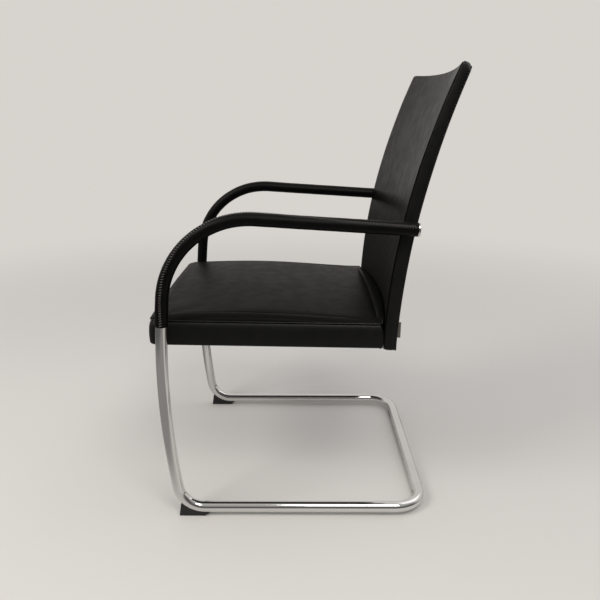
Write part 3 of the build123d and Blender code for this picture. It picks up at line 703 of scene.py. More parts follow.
def grain_group():
    """Leather: pebbled cells, pores, long soft creases and rubbed tops."""
    tree, n, given, out = group(
        "Leather grain",
        (("Vector", VECTOR, None), ("Cell size", FLOAT, 0.0011), ("Crease", FLOAT, 0.5)),
        (("Height", FLOAT), ("Tops", FLOAT), ("Roughness", FLOAT)),
    )
    where = given.outputs["Vector"]
    scale = n.maths("DIVIDE", 1.0, given.outputs["Cell size"])
    cells = n.add("ShaderNodeTexVoronoi", feature="SMOOTH_F1")
    n.feed(cells, Vector=where, Scale=scale, Smoothness=0.6)
    fine = n.clouds(where, n.maths("MULTIPLY", scale, 1.7), 3.0)
    patches = n.clouds(where, 34.0, 4.0)
    stretch = n.feed(n.add("ShaderNodeMapping"), Vector=where, Scale=(210.0, 60.0, 9.0))
    creases = n.clouds(stretch.outputs[0], 1.0, 4.0, Roughness=0.55)
    tops = n.ranged(cells.outputs["Distance"], 0.15, 0.75, 1.0, 0.0)
    crease_height = n.maths("MULTIPLY", n.ranged(creases, 0.3, 0.7), given.outputs["Crease"])
    pebbles = n.maths("ADD", n.maths("MULTIPLY", tops, 0.6), n.maths("MULTIPLY", fine, 0.4))
    n.join(n.maths("ADD", pebbles, n.maths("MULTIPLY", crease_height, 1.6)), out.inputs["Height"])
    rubbed = n.maths("MULTIPLY", tops, n.ranged(patches, 0.35, 0.7, 0.2, 1.0))
    streaked = n.maths("MULTIPLY", n.maths("MULTIPLY", crease_height, 0.8), rubbed)
    n.join(n.maths("ADD", n.maths("MULTIPLY", rubbed, 0.45), streaked, clamp=True), out.inputs["Tops"])
    n.join(n.ranged(patches, 0.25, 0.75), out.inputs["Roughness"])
    return tree


def dust_group():
    """Handling marks and dust: patches that lighten and roughen a hard surface."""
    tree, n, given, out = group(
        "Handling and dust",
        (("Vector", VECTOR, None), ("Scale", FLOAT, 20.0), ("Amount", FLOAT, 0.3)),
        (("Mask", FLOAT), ("Height", FLOAT)),
    )
    where, scale = given.outputs["Vector"], given.outputs["Scale"]
    broad = n.clouds(where, scale, 5.0)
    fine = n.clouds(where, n.maths("MULTIPLY", scale, 22.0), 2.0)
    mask = n.maths("MULTIPLY", n.ranged(broad, 0.4, 0.75), given.outputs["Amount"])
    n.join(mask, out.inputs["Mask"])
    n.join(n.maths("MULTIPLY", fine, n.maths("ADD", mask, 0.2)), out.inputs["Height"])
    return tree


def weave_group():
    """Plain weave of crossing threads."""
    tree, n, given, out = group(
        "Plain weave",
        (("Vector", VECTOR, None), ("Thread width", FLOAT, 0.0008)),
        (("Height", FLOAT), ("Mask", FLOAT)),
    )
    scale = n.maths("DIVIDE", pi, given.outputs["Thread width"])
    split = n.feed(n.add("ShaderNodeSeparateXYZ"), Vector=given.outputs["Vector"])
    x, y, z = split.outputs
    across = n.maths("SINE", n.maths("MULTIPLY", n.maths("ADD", x, z), scale))
    along = n.maths("SINE", n.maths("MULTIPLY", n.maths("SUBTRACT", y, z), scale))
    crossing = n.maths("MULTIPLY", across, along)
    fluff = n.maths("MULTIPLY", n.clouds(given.outputs["Vector"], 900.0, 2.0), 0.5)
    n.join(n.maths("ADD", n.maths("ABSOLUTE", crossing), fluff), out.inputs["Height"])
    n.join(n.ranged(crossing, -0.6, 0.6), out.inputs["Mask"])
    return tree


def place_group(n, name, **inputs):
    """One of the shared groups, fed with the spot on the piece."""
    node = n.add("ShaderNodeGroup")
    node.node_tree = GROUPS[name]
    return n.feed(node, Vector=n.where(), **inputs)


def shader(n, made, **inputs):
    """The material's own shader and output. Constant sockets are set straight on it."""
    principled = n.feed(n.add("ShaderNodeBsdfPrincipled"), **inputs)
    output = n.add("ShaderNodeOutputMaterial")
    n.join(principled.outputs[0], output.inputs["Surface"])
    return made


def bump(n, height, distance, strength):
    return n.feed(n.add("ShaderNodeBump"), Height=height, Distance=distance, Strength=strength).outputs[0]


def dimmed(tint, share):
    return tuple(share * c for c in tint)


# Height of the leather's grain, and how much rougher it is where it isn't polished.
GRAIN_HEIGHT = 0.00012
UNPOLISHED = 0.16
# Heights between which the back's front grows polished.
BACK_POLISH = (0.46, 0.67)


def leather(name, cell, crease, rough, gloss, polish=None):
    """Black leather. Where a polish is given, it is duller below those two heights than above them."""
    made, n = material(name)
    f = finishes()
    grain = place_group(n, "grain", Cell_size=cell, Crease=crease)
    tint = n.mixed(grain.outputs["Tops"], f.leather, f.leather_worn)
    roughness = n.ranged(grain.outputs["Roughness"], 0.0, 1.0, *rough, straight=True)
    if polish:
        height = n.feed(n.add("ShaderNodeSeparateXYZ"), Vector=n.where()).outputs["Z"]
        roughness = n.maths("ADD", roughness, n.ranged(height, *polish, UNPOLISHED, 0.0), clamp=True)
    normal = bump(n, grain.outputs["Height"], GRAIN_HEIGHT, f.grain_depth)
    return shader(n, made, Base_Color=tint, Roughness=roughness, Normal=normal, Specular_IOR_Level=gloss)


def metal(name, base, rough, mark, scale, metallic=1.0):
    """Bright or painted steel with faint handling marks."""
    made, n = material(name)
    marks = place_group(n, "dust", Scale=scale, Amount=mark)
    tint = n.mixed(marks.outputs["Mask"], base, tuple(0.82 * c + 0.02 for c in base))
    roughness = n.ranged(marks.outputs["Mask"], 0.0, 1.0, rough, rough + 0.22, straight=True)
    normal = bump(n, marks.outputs["Height"], 0.00001, 0.3)
    return shader(n, made, Base_Color=tint, Roughness=roughness, Normal=normal, Metallic=metallic)


def cloth(name, base, other, thread_width):
    """Woven threads in two shades."""
    made, n = material(name)
    weave = place_group(n, "weave", Thread_width=thread_width)
    tint = n.mixed(weave.outputs["Mask"], base, other)
    normal = bump(n, weave.outputs["Height"], thread_width * 0.3, 0.6)
    return shader(n, made, Base_Color=tint, Roughness=0.85, Normal=normal, Sheen_Weight=0.3)


def plastic(name, base):
    """Moulded plastic, scuffed in patches."""
    made, n = material(name)
    marks = place_group(n, "dust", Scale=45.0, Amount=0.5)
    tint = n.mixed(marks.outputs["Mask"], base, tuple(c + 0.006 for c in base))
    roughness = n.ranged(marks.outputs["Mask"], 0.0, 1.0, 0.42, 0.72, straight=True)
    normal = bump(n, marks.outputs["Height"], 0.00005, 0.5)
    return shader(n, made, Base_Color=tint, Roughness=roughness, Normal=normal)


def plywood(name):
    """Thin plies seen at the edge, long figure on the face."""
    made, n = material(name)
    stretch = n.feed(n.add("ShaderNodeMapping"), Vector=n.where(), Scale=(60.0, 400.0, 6.0))
    figure = n.clouds(stretch.outputs[0], 1.0, 5.0)
    tint = n.mixed(figure, (0.55, 0.38, 0.22), (0.36, 0.22, 0.11))
    return shader(n, made, Base_Color=tint, Roughness=0.6, Normal=bump(n, figure, 0.0001, 0.4))


def thread(name, base):
    """Waxed thread with its twist."""
    made, n = material(name)
    wave = n.feed(n.add("ShaderNodeTexWave"), Vector=n.where(), Scale=900.0, Distortion=2.0, Detail=1.0)
    twist = wave.outputs["Color"]
    tint = n.mixed(twist, dimmed(base, 0.6), base)
    return shader(n, made, Base_Color=tint, Roughness=0.38, Normal=bump(n, twist, 0.0001, 0.5))


GROUPS = {}
FINISH = {}


def make_finishes():
    """Builds the shared groups first, then every finish of the chair."""
    f = finishes()
    GROUPS.update(grain=grain_group(), dust=dust_group(), weave=weave_group())
    FINISH.update(
        chrome=metal("Chrome", f.chrome, 0.045, mark=0.2, scale=9.0),
        zinc=metal("Zinc plated steel", (0.52, 0.53, 0.54), 0.32, mark=0.6, scale=40.0),
        painted=metal("Black painted steel", (0.02, 0.02, 0.021), 0.45, mark=0.5, scale=25.0, metallic=0.0),
        seat=leather("Seat leather", cell=0.0010, crease=0.12, rough=(0.41, 0.49), gloss=0.06),
        back=leather(
            "Back leather", cell=0.0010, crease=0.9, rough=(0.31, 0.40), gloss=0.07, polish=BACK_POLISH
        ),
        rear=leather("Rear leather", cell=0.0010, crease=0.4, rough=(0.38, 0.47), gloss=0.24),
        side=leather("Side leather", cell=0.0009, crease=0.15, rough=(0.40, 0.50), gloss=0.30),
        sleeve=leather("Sleeve leather", cell=0.0008, crease=0.2, rough=(0.36, 0.44), gloss=0.10),
        piping=leather("Piping leather", cell=0.0007, crease=0.0, rough=(0.30, 0.36), gloss=0.45),
        # The arm stitches' thread carries painted highlights in its colour; the back's dark thread is the
        # same colour dimmed to near-black.
        thread=thread("Thread with painted glints", f.thread),
        dark_thread=thread("Dark thread", dimmed(f.thread, 0.12)),
        plastic=plastic("Black plastic", f.plastic),
        webbing=cloth("Jute webbing", (0.30, 0.22, 0.12), (0.19, 0.135, 0.07), thread_width=0.0022),
        dust_cloth=cloth("Dust cloth", (0.018, 0.018, 0.019), (0.03, 0.03, 0.031), thread_width=0.0007),
        tag=cloth("Woven tag", f.tag, dimmed(f.tag, 0.6), thread_width=0.0006),
        plywood=plywood("Moulded plywood"),
    )


# The finish of each CAD node that shows as it is.
CAD_FINISHES = {
    "chrome": ("arm_end_plug_left", "arm_end_plug_right", "leg_spacers", "arm_spacers", "tube_bushes"),
    "zinc": (
        "glide_screws", "leg_washers", "leg_bolts", "arm_washers", "arm_bolts",
        "link_spacers", "link_washers", "link_bolts", "link_tee_nuts", "bracket_screws",
    ),
    "painted": ("seat_frame", "arm_bracket_left", "arm_bracket_right"),
    "plastic": ("front_glide_left", "front_glide_right", "rear_glide_left", "rear_glide_right"),
    "webbing": ("seat_webbing_long", "seat_webbing_cross"),
    "plywood": ("back_shell",),
}


# ---- Pieces -------------------------------------------------------------------------------------------
class BendTube(bpy.types.Operator):
    """Bend the chrome tube: rear bar, corners, runners, foot bends, bowed legs and arms"""

    bl_idname = "armchair.bend_tube"
    bl_label = "Bend the tube"

    def execute(self, context):
        s = tube_sizes()
        piece = start_ring("bent_tube", (0, s.rear_bar_y, s.axis_height), (1, 0, 0), s.radius, 48)
        bender = Bender((0, s.rear_bar_y, s.axis_height), (1, 0, 0))
        bender.run(s.half_spacing - s.corner_bend)
        bender.bend(s.corner_bend, pi / 2, Vector((0, -1, 0)), 18)
        bender.run(s.runner_run - s.corner_bend)
        inward = bender.bend(s.foot_bend, s.foot_turn, UP, 18)
        inward = bender.bend(s.leg_bow, s.leg_turn, inward, 24)
        bender.bend(s.arm_bend, s.arm_turn, inward, 32)
        bender.run(s.arm_run)
        bpy.ops.object.mode_set(mode="OBJECT")
        modify(piece, "MIRROR", use_axis=(True, False, False), merge_threshold=0.0001)
        close_up(piece)
        modify(piece, "SOLIDIFY", thickness=s.wall, offset=-1)
        smooth(piece)
        finish_piece(piece, "chrome", "tube_chrome", "frame_tube")
        return {"FINISHED"}


def sleeve(name):
    """A leather sleeve on the left side, drawn up along the tube."""
    s = tube_sizes()
    runs, start, heading, inward = sleeve_stretches()
    piece = start_ring(name, start, heading, s.sleeve_radius, 60)
    bender = Bender(start, heading)
    step = s.stitch_pitch / 4
    inward = bender.bend(s.leg_bow, runs[0] / s.leg_bow, inward, round(runs[0] / step))
    bender.bend(s.arm_bend, s.arm_turn, inward, round(runs[1] / step))
    bender.run(s.arm_run, round(runs[2] / step))
    bpy.ops.object.mode_set(mode="OBJECT")
    close_up(piece)
    return piece


STATIONS = 700


def along_sleeve():
    """Evenly spaced stations on the sleeve's line, and a tree to find the nearest."""
    total = sum(sleeve_stretches()[0])
    stations = [sleeve_line(total * i / STATIONS) for i in range(STATIONS + 1)]
    tree = KDTree(len(stations))
    for i, (at, _, _) in enumerate(stations):
        tree.insert(at, i)
    tree.balance()
    return total, stations, tree


# The sleeve's seam: its valley's half width and depth, its puckers, and the leather's unevenness.
SEAM_WIDTH, SEAM_DEPTH = 0.0016, 0.00035
PUCKER, UNEVENNESS = 0.00022, 0.00022
LACING_START = 0.002


def crease_seam(piece, drift):
    """Presses the seam's valley into a sleeve, with the leather plumped up beside it."""
    s = tube_sizes()
    total, stations, tree = along_sleeve()
    for vertex in piece.data.vertices:
        _, index, _ = tree.find(vertex.co)
        at, heading, inward = stations[index]
        out = vertex.co - at
        out -= heading * out.dot(heading)
        side = out.normalized()
        distance = total * index / STATIONS
        around = atan2(out.dot(-inward), out.x)
        gap = (around - seam_angle(distance, drift) + pi) % (2 * pi) - pi
        across = (gap * s.sleeve_radius / SEAM_WIDTH) ** 2
        vertex.co += side * (SEAM_DEPTH * (0.5 * min(across, 4.0) - 1.0) * exp(-across / 2))
        pucker = cos(2 * pi * (distance - LACING_START) / s.stitch_pitch + gap * 2.0)
        vertex.co += side * (PUCKER * pucker * exp(-across / 12))
        vertex.co += side * (noise.noise(vertex.co * 55) * UNEVENNESS)


STITCH_SIDES, STITCH_STEPS = 5, 5


def stitch_pattern(name, reach, lift, thick):
    """One whip stitch: a short thread that rises out of the leather, arches over the seam and dives in."""
    deselect()
    bpy.ops.mesh.primitive_circle_add(
        vertices=STITCH_SIDES, radius=thick, rotation=(0, pi / 2, 0), location=(-reach, 0, 0)
    )
    piece = new_piece(name)
    bpy.ops.object.mode_set(mode="EDIT")
    bpy.ops.mesh.select_all(action="SELECT")
    last = Vector((-reach, 0, -lift * 0.9))
    bpy.ops.transform.translate(value=(0, 0, last.z))
    for i in range(1, STITCH_STEPS + 1):
        share = -1 + 2 * i / STITCH_STEPS
        spot = Vector((reach * share, 0, lift * (1 - 1.9 * share * share)))
        bpy.ops.mesh.extrude_region_move(TRANSFORM_OT_translate={"value": spot - last})
        last = spot
    bpy.ops.mesh.select_all(action="DESELECT")
    bpy.ops.mesh.select_mode(type="EDGE")
    bpy.ops.mesh.select_non_manifold()
    bpy.ops.mesh.edge_face_add()
    bpy.ops.object.mode_set(mode="OBJECT")
    close_up(piece)
    smooth(piece, 80)
    return piece


def lacing(name, drift):
    """Whip stitches along a sleeve's seam, on the left side."""
    s = tube_sizes()
    total = sum(sleeve_stretches()[0])
    places = []
    for i in range(int((total - 2 * LACING_START) / s.stitch_pitch)):
        distance = LACING_START + s.stitch_pitch * (i + 0.5)
        at, heading, inward = sleeve_line(distance)
        around = seam_angle(distance, drift)
        normal = Vector((1, 0, 0)) * cos(around) - inward * sin(around)
        across = heading.cross(normal).normalized()
        lean = (across * 0.86 + heading * 0.5).normalized()
        side = normal.cross(lean).normalized()
        places.append(placed(lean, side, normal, at + normal * (s.sleeve_radius - 0.0001)))
    return repeated(stitch_pattern(name + "_one", 0.0036, 0.0013, s.thread_radius), places, name)


class CoverArms(bpy.types.Operator):
    """Draw the leather sleeves over the arms and lace their seams with whip stitches"""

    bl_idname = "armchair.cover_arms"
    bl_label = "Cover the arms"

    def execute(self, context):
        s = tube_sizes()
        for hand, drift in (("left", 1.0), ("right", 0.72)):
            cover = sleeve("sleeve_" + hand)
            crease_seam(cover, drift)
            modify(cover, "SOLIDIFY", thickness=s.sleeve_wall, offset=-1)
            stitches = lacing("sleeve_lacing_" + hand, drift)
            for piece in (cover, stitches):
                smooth(piece, 60)
                if hand == "right":
                    mirror(piece)
            finish_piece(cover, "sleeve", "sleeve_leather", "arm_sleeve_" + hand)
            finish_piece(stitches, "thread", "sleeve_leather")
        return {"FINISHED"}


def seat_place():
    """The seat's own plane: X across, Y the reach, Z up from its underside."""
    s = seat_sizes()
    return Matrix.Translation((0, leg_line(), s.bottom_z)) @ Matrix.Rotation(-s.tilt, 4, "X")


def seat_crown(point):
    """Height of the crowned top over a point of the plan."""
    s = seat_sizes()
    middle = (s.rear_middle - s.nose) / 2
    far = point.x**2 + (point.y - middle) ** 2
    fall = s.rear_fall * eased((point.y - 0.2) / 0.2)
    return s.boxing + s.crown - fall - s.crown_radius + sqrt(s.crown_radius**2 - far)


def seat_roll(point):
    """How far in from the seam the top rolls over: widest in the middle of the rear edge."""
    s = seat_sizes()
    corner_y = s.rear_middle - s.rear_radius + sqrt(s.rear_radius**2 - (s.half_width - s.rear_corner) ** 2)
    rearward = clamped((point.y - corner_y) / (s.rear_middle - corner_y))
    forward = clamped((corner_y - point.y) / 0.08)
    least = s.rear_corner - 0.001
    return least + (s.roll - least) * forward + (s.rear_roll - least) * rearward


# Insets from the seat's plan: its top's seam, the top's hidden lining and the dust cloth's tacks.
SEAM_INSET, LINING_INSET, TACK_INSET = 0.0038, 0.016, 0.014
SEAT_SWELL_CAP = 0.0016
# How far the boxing stands in from the plan at each drop below its seam.
BOXING_SWELL = (
    (0.0072, 0.0018), (0.0056, 0.0021), (0.0044, 0.0031), (0.0032, 0.0052), (0.0021, 0.0080),
    (0.0011, 0.0115), (0.0003, 0.0160), (-0.0004, 0.0220), (-0.0008, 0.0300), (-0.0007, 0.0400),
)
# The dust cloth's sag: its place and half length along the seat, and its depth.
SAG_MIDDLE, SAG_HALF, SAG_DEPTH = 0.231, 0.262, 0.0006


def flat(entry, step):
    """A step is (inset from the plan, height)."""
    point, side = entry
    point = point - side * step[0]
    return Vector((point.x, point.y, step[1]))


def rolled(entry, step):
    """A step is degrees round the roll, or an (inset, height) pair past the seam."""
    if isinstance(step, tuple):
        return flat(entry, step)
    point, side = entry
    turn = radians(step)
    point = point - side * (SEAM_INSET + seat_roll(point) * (1 - cos(turn)))
    base = seat_sizes().boxing + 0.0020
    return Vector((point.x, point.y, base + (seat_crown(point) - base) * sin(turn)))


def seat_top(ring):
    """Crowned panel, rolled over to its seam, filled and a little uneven."""
    seam = seat_sizes().boxing
    border = [point - side * (SEAM_INSET + seat_roll(point)) for point, side in ring]
    top = panel("seat_top", border, lambda p: Vector((p.x, p.y, seat_crown(p))))
    hidden = seam - 0.001
    steps = [90, 76, 62, 48, 35, 22, 10, 0]
    steps += [(SEAM_INSET + 0.0004, seam + 0.0014), (0.0056, seam + 0.0008)]
    steps += [(0.008, hidden), (LINING_INSET, hidden)]
    lining = [point - side * LINING_INSET for point, side in ring]
    pad(top, ring, steps, rolled, lining, lambda p: Vector((p.x, p.y, hidden)))
    puff(top, lambda co: co.z < seam + 0.004, SEAT_SWELL_CAP)
    soft_swell(top, 0.0010, 5.0, UP, 3.1)
    modify(top, "SUBSURF", levels=1, render_levels=1)
    return top


def seat_boxing(ring):
    """Soft band, rounded in under the seam, with a rounded hem."""
    s = seat_sizes()
    seam, rim = s.boxing, s.bottom_rim
    steps = [(0.0080, seam - 0.0022)] + [(inset, seam - drop) for inset, drop in BOXING_SWELL]
    for turn in (radians(degrees) for degrees in range(0, 91, 18)):
        steps.append((rim * (1 - cos(turn)), rim * (1 - sin(turn)) - s.hem_drop))
    steps += [(0.012, -s.hem_drop), (0.020, -0.0002), (0.034, 0.0)]
    sharper = [(*entry, *low) for entry, low in zip(ring, seat_outline(s.hem_corner))]

    def squared(entry, step):
        """The rear corners grow squarer from the seam down."""
        return flat(entry[:2], step).lerp(flat(entry[2:], step), eased((seam - step[1]) / 0.022))

    return band("seat_boxing_band", sharper, steps, squared)


def seat_piping(ring):
    """Thin round leather piping in the seam."""
    s = seat_sizes()
    steps = []
    for turn in (radians(degrees) for degrees in range(0, 361, 40)):
        steps.append((0.0040 - s.piping * cos(turn), s.boxing + 0.0010 + s.piping * sin(turn)))
    piping = band("seat_piping", ring, steps, flat, wall=0.0)
    close_up(piping, 1e-5)
    return piping


def seat_dust_cloth(ring):
    """Cloth under the seat, tacked all round and sagging a little in its middle."""
    half_width = seat_sizes().half_width

    def sagging(point):
        across = 1 - (point.x / half_width) ** 2
        along = 1 - ((point.y - SAG_MIDDLE) / SAG_HALF) ** 2
        return Vector((point.x, point.y, -0.0002 - SAG_DEPTH * max(across, 0) * max(along, 0)))

    cover = panel("seat_dust_cloth", [point - side * TACK_INSET for point, side in ring], sagging)
    modify(cover, "SOLIDIFY", thickness=0.0008, offset=0)
    return cover


class UpholsterSeat(bpy.types.Operator):
    """Make the seat: crowned top panel, boxing, piping in the seam and the cloth underneath"""

    bl_idname = "armchair.upholster_seat"
    bl_label = "Upholster the seat"

    def execute(self, context):
        ring = seat_outline(seat_sizes().rear_corner)
        top, boxing = seat_top(ring), seat_boxing(ring)
        piping, cover = seat_piping(ring), seat_dust_cloth(ring)
        for piece, finish, slot, nodes in (
            (top, "seat", "seat_leather", ("seat_top_cover", "seat_foam")),
            (boxing, "side", "seat_leather", ("seat_boxing",)),
            (piping, "piping", "welt_leather", ("seat_welt",)),
            (cover, "dust_cloth", "dust_cloth", ("seat_dust_cover",)),
        ):
            piece.data.transform(seat_place())
            smooth(piece, 70)
            finish_piece(piece, finish, slot, *nodes)
        return {"FINISHED"}


# ---- The back's two faces -----------------------------------------------------------------------------
def front_face(x, z):
    """Y of the back's hollow, leaning front face."""
    s = back_sizes()
    swing = s.lean_radius + s.hollow - s.hollow * cos(asin(x / s.hollow))
    rise = asin((z - s.plumb_z) / swing)
    return leg_line() + s.plumb_reach + s.lean_radius - swing * cos(rise)


def rear_face(x, z):
    """Y of the back's rear face."""
    s = back_sizes()
    radius = s.hollow + s.thick
    axis = s.plumb_reach + s.thick + s.rear_radius
    swing = axis - (s.plumb_reach - s.hollow + radius * cos(asin(x / radius)))
    rise = asin((z - s.rear_z) / swing)
    return leg_line() + axis - swing * cos(rise)


# Heights over which the top edge and the hem fall towards the rear, and the hem's fall.
TOP_BAND, HEM_BAND, HEM_FALL = 0.05, 0.03, 0.0014


def back_spot(point, depth):
    """Spot at a depth behind the front face, from 0 at the front to 1 at the rear face."""
    s = back_sizes()
    crest = eased(1 - (s.top_z - point.y) / TOP_BAND)
    hem = HEM_FALL * max(0.0, 1 - (point.y - s.bottom_z) / HEM_BAND)
    z = point.y - depth * (hem + s.top_fall * crest)
    rise = clamped((z - s.bottom_z) / (s.top_z - s.bottom_z))
    front, rear = front_face(point.x, z) - s.swell * sin(pi * rise), rear_face(point.x, z)
    return Vector((point.x, front + (rear - front) * depth, z))


def back_edge(side, depth):
    """How far the edge draws in at a depth: small rounds at the sides, wide rounds along the top."""
    s = back_sizes()
    near = min(depth, 1 - depth) * s.thick
    upward = eased((side.y - 0.12) / 0.8)
    rounds = []
    for radius in (s.edge, s.top_edge if depth < 0.5 else s.top_rear_edge):
        left = max(radius - near, 0.0)
        rounds.append(radius - sqrt(max(radius * radius - left * left, 0.0)))
    return rounds[0] * (1 - upward) + rounds[1] * upward


def back_rim(entry, depth):
    """Point and outward side of the back's outline, whose corners grow rounder from front to rear."""
    (front, front_side), (rear, rear_side) = entry
    share = eased(depth)
    return front.lerp(rear, share), front_side.lerp(rear_side, share).normalized()


def back_edge_spot(entry, step):
    """A step is (extra inset, depth)."""
    point, side = back_rim(entry, step[1])
    return back_spot(point - side * (step[0] + back_edge(side, step[1])), step[1])


def back_frame_of(ring, i, depth):
    """Spot, along, over and outward directions on the back's edge at a ring place and depth."""

    def edge(place, at):
        return back_edge_spot(ring[place % len(ring)], (0.0, at))

    along = (edge(i + 1, depth) - edge(i - 1, depth)).normalized()
    over = (edge(i, depth + 0.02) - edge(i, depth - 0.02)).normalized()
    outward = along.cross(over).normalized()
    side = back_rim(ring[i], depth)[1]
    if outward.dot(Vector((side.x, 0.3, side.y))) < 0:
        outward = -outward
    return edge(i, depth), along, over, outward


# Depths of the back's two seams, as shares of its thickness, and the front panel's greatest swelling.
FRONT_SEAM, REAR_SEAM = 0.055, 0.925
BACK_SWELL_CAP = 0.0012
BACK_LINING_INSET = 0.016


def tucked(name, ring, depth, turns, seam, inward):
    """A face panel of the back, rolled over its edge to a seam and closed inside."""

    def border(at, inset=0.0):
        rim = [back_rim(entry, at) for entry in ring]
        return [point - side * (inset + back_edge(side, at)) for point, side in rim]

    face = panel(name, border(depth), lambda p: back_spot(p, depth))
    inner = seam + inward * 0.12
    steps = [(0.0, turn) for turn in turns]
    steps += [(0.0002, seam - inward * 0.016), (0.0014, seam), (0.0034, seam + inward * 0.01)]
    steps.append((BACK_LINING_INSET, inner))
    pad(face, ring, steps, back_edge_spot, border(inner, BACK_LINING_INSET), lambda p: back_spot(p, inner))
    return face


def side_strip(ring):
    """Strip of leather from the front seam to the laced rear seam."""
    steps = [(0.0060, FRONT_SEAM + 0.002), (0.0030, FRONT_SEAM + 0.012), (0.0014, FRONT_SEAM + 0.028)]
    steps += [(0.0005, FRONT_SEAM + 0.048), (0.0, FRONT_SEAM + 0.075), (-0.0006, 0.24), (-0.0009, 0.34)]
    steps += [(-0.0011, 0.45), (-0.0011, 0.55), (-0.0010, 0.65), (-0.0007, 0.74), (-0.0003, 0.81)]
    steps.append((0.0, 0.86))
    steps += [(0.0002, REAR_SEAM - 0.019), (0.0010, REAR_SEAM - 0.005), (0.0040, REAR_SEAM - 0.002)]
    return band("back_side_strip", ring, steps, back_edge_spot)


def rear_lacing(ring):
    """Whip stitches over the rear seam, all round the back."""
    pitch = back_sizes().stitch_pitch
    places, walked, wanted = [], 0.0, 0.0
    for i in range(len(ring)):
        spot, along, over, outward = back_frame_of(ring, i, REAR_SEAM)
        far = back_edge_spot(ring[(i + 1) % len(ring)], (0.0, REAR_SEAM)) - spot
        while wanted <= walked + far.length:
            lean = (over * 0.9 + along * 0.42).normalized()
            turn = outward.cross(lean).normalized()
            stitch = spot + far * ((wanted - walked) / far.length) + outward * 0.0002
            places.append(placed(lean, turn, lean.cross(turn), stitch))
            wanted += pitch
        walked += far.length
    return repeated(stitch_pattern("back_lacing_one", 0.0026, 0.0009, 0.0007), places, "back_lacing")


class UpholsterBack(bpy.types.Operator):
    """Make the back: hollow front panel, side strip, rear panel and the laced rear edge"""

    bl_idname = "armchair.upholster_back"
    bl_label = "Upholster the back"

    def execute(self, context):
        s = back_sizes()
        ring = list(zip(back_outline(s.corner), back_outline(s.rear_corner)))
        front_turns = (0.0, 0.004, 0.010, 0.018, 0.027, 0.036)
        front = tucked("back_front_panel", ring, 0.0, front_turns, FRONT_SEAM, 1)
        rear = tucked("back_rear_panel", ring, 1.0, (1.0, 0.99, 0.975, 0.957), REAR_SEAM, -1)
        puff(front, lambda co: co.y > front_face(co.x, co.z) + 0.0006, BACK_SWELL_CAP)
        for face, toward in ((front, -1), (rear, 1)):
            soft_swell(face, 0.0006, 6.0, Vector((0, toward, 0)), 1.7)
            modify(face, "SUBSURF", levels=1, render_levels=1)
        for piece, finish, slot, nodes in (
            (front, "back", "back_leather", ("back_front_cover", "back_front_foam")),
            (side_strip(ring), "side", "back_rear_leather", ("back_boxing",)),
            (rear, "rear", "back_rear_leather", ("back_rear_cover", "back_rear_foam")),
            (rear_lacing(ring), "dark_thread", "back_rear_leather", ()),
        ):
            smooth(piece, 70)
            finish_piece(piece, finish, slot, *nodes)
        return {"FINISHED"}


# The tag: its side of the chair, its two heights, half its thickness, and its folds out from the seam.
TAG_X, TAG_LOW, TAG_HIGH, TAG_HALF = 0.2515, 0.425, 0.460, 0.0004
TAG_FOLDS = ((0, 0.004, 0), (0.0003, 0.003, 0), (0.0002, 0.0022, 0))


class SewTag(bpy.types.Operator):
    """Sew the small bare tag into the rear seam of the back's left side"""

    bl_idname = "armchair.sew_tag"
    bl_label = "Sew the tag"

    def execute(self, context):
        root = rear_face(0.25, (TAG_LOW + TAG_HIGH) / 2) - 0.004
        deselect()
        bpy.ops.mesh.primitive_plane_add(size=1)
        piece = new_piece("bare_tag")
        for vertex in piece.data.vertices:
            z = TAG_HIGH if vertex.co.y > 0 else TAG_LOW
            vertex.co = Vector((TAG_X + (TAG_HALF if vertex.co.x > 0 else -TAG_HALF), root, z))
        bpy.ops.object.mode_set(mode="EDIT")
        bpy.ops.mesh.select_all(action="SELECT")
        for fold in TAG_FOLDS:
            bpy.ops.mesh.extrude_region_move(TRANSFORM_OT_translate={"value": fold})
        bpy.ops.mesh.select_all(action="SELECT")
        bpy.ops.mesh.subdivide(number_cuts=3)
        bpy.ops.object.mode_set(mode="OBJECT")
        close_up(piece)
        modify(piece, "BEVEL", width=0.0002, segments=2)
        for vertex in piece.data.vertices:
            wave = sin((vertex.co.z - TAG_LOW) / (TAG_HIGH - TAG_LOW) * pi * 2.2)
            vertex.co.x += 0.0004 * wave * max(0.0, (vertex.co.y - root) / 0.009)
        smooth(piece, 50)
        finish_piece(piece, "tag", "back_rear_leather")
        return {"FINISHED"}


class FinishFittings(bpy.types.Operator):
    """Give the fittings, fixings, frame, webbing and shell their finishes"""

    bl_idname = "armchair.finish_fittings"
    bl_label = "Finish the fittings"

    def execute(self, context):
        for finish, nodes in CAD_FINISHES.items():
            for node in nodes:
                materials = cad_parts[node].data.materials
                materials.clear()
                materials.append(FINISH[finish])
        return {"FINISHED"}


# ---- Stage --------------------------------------------------------------------------------------------
# What reflections see round the stage: its bright side, and the tints of its other sides and far reaches.
BRIGHT_SIDE = (0.77, 0.64, 0.0)
ROOM_LEFT, ROOM_RIGHT = (0.16, 0.155, 0.15), (0.24, 0.232, 0.224)
ROOM_REAR, ROOM_FAR = (0.09, 0.087, 0.084), (0.02, 0.0195, 0.019)


def seen_rays(n):
    """1 for the rays that show a surface: camera, glossy and transmission."""
    ray = n.add("ShaderNodeLightPath")
    seen = n.maths("MAXIMUM", ray.outputs["Is Camera Ray"], ray.outputs["Is Transmission Ray"])
    return n.maths("MAXIMUM", seen, ray.outputs["Is Glossy Ray"])


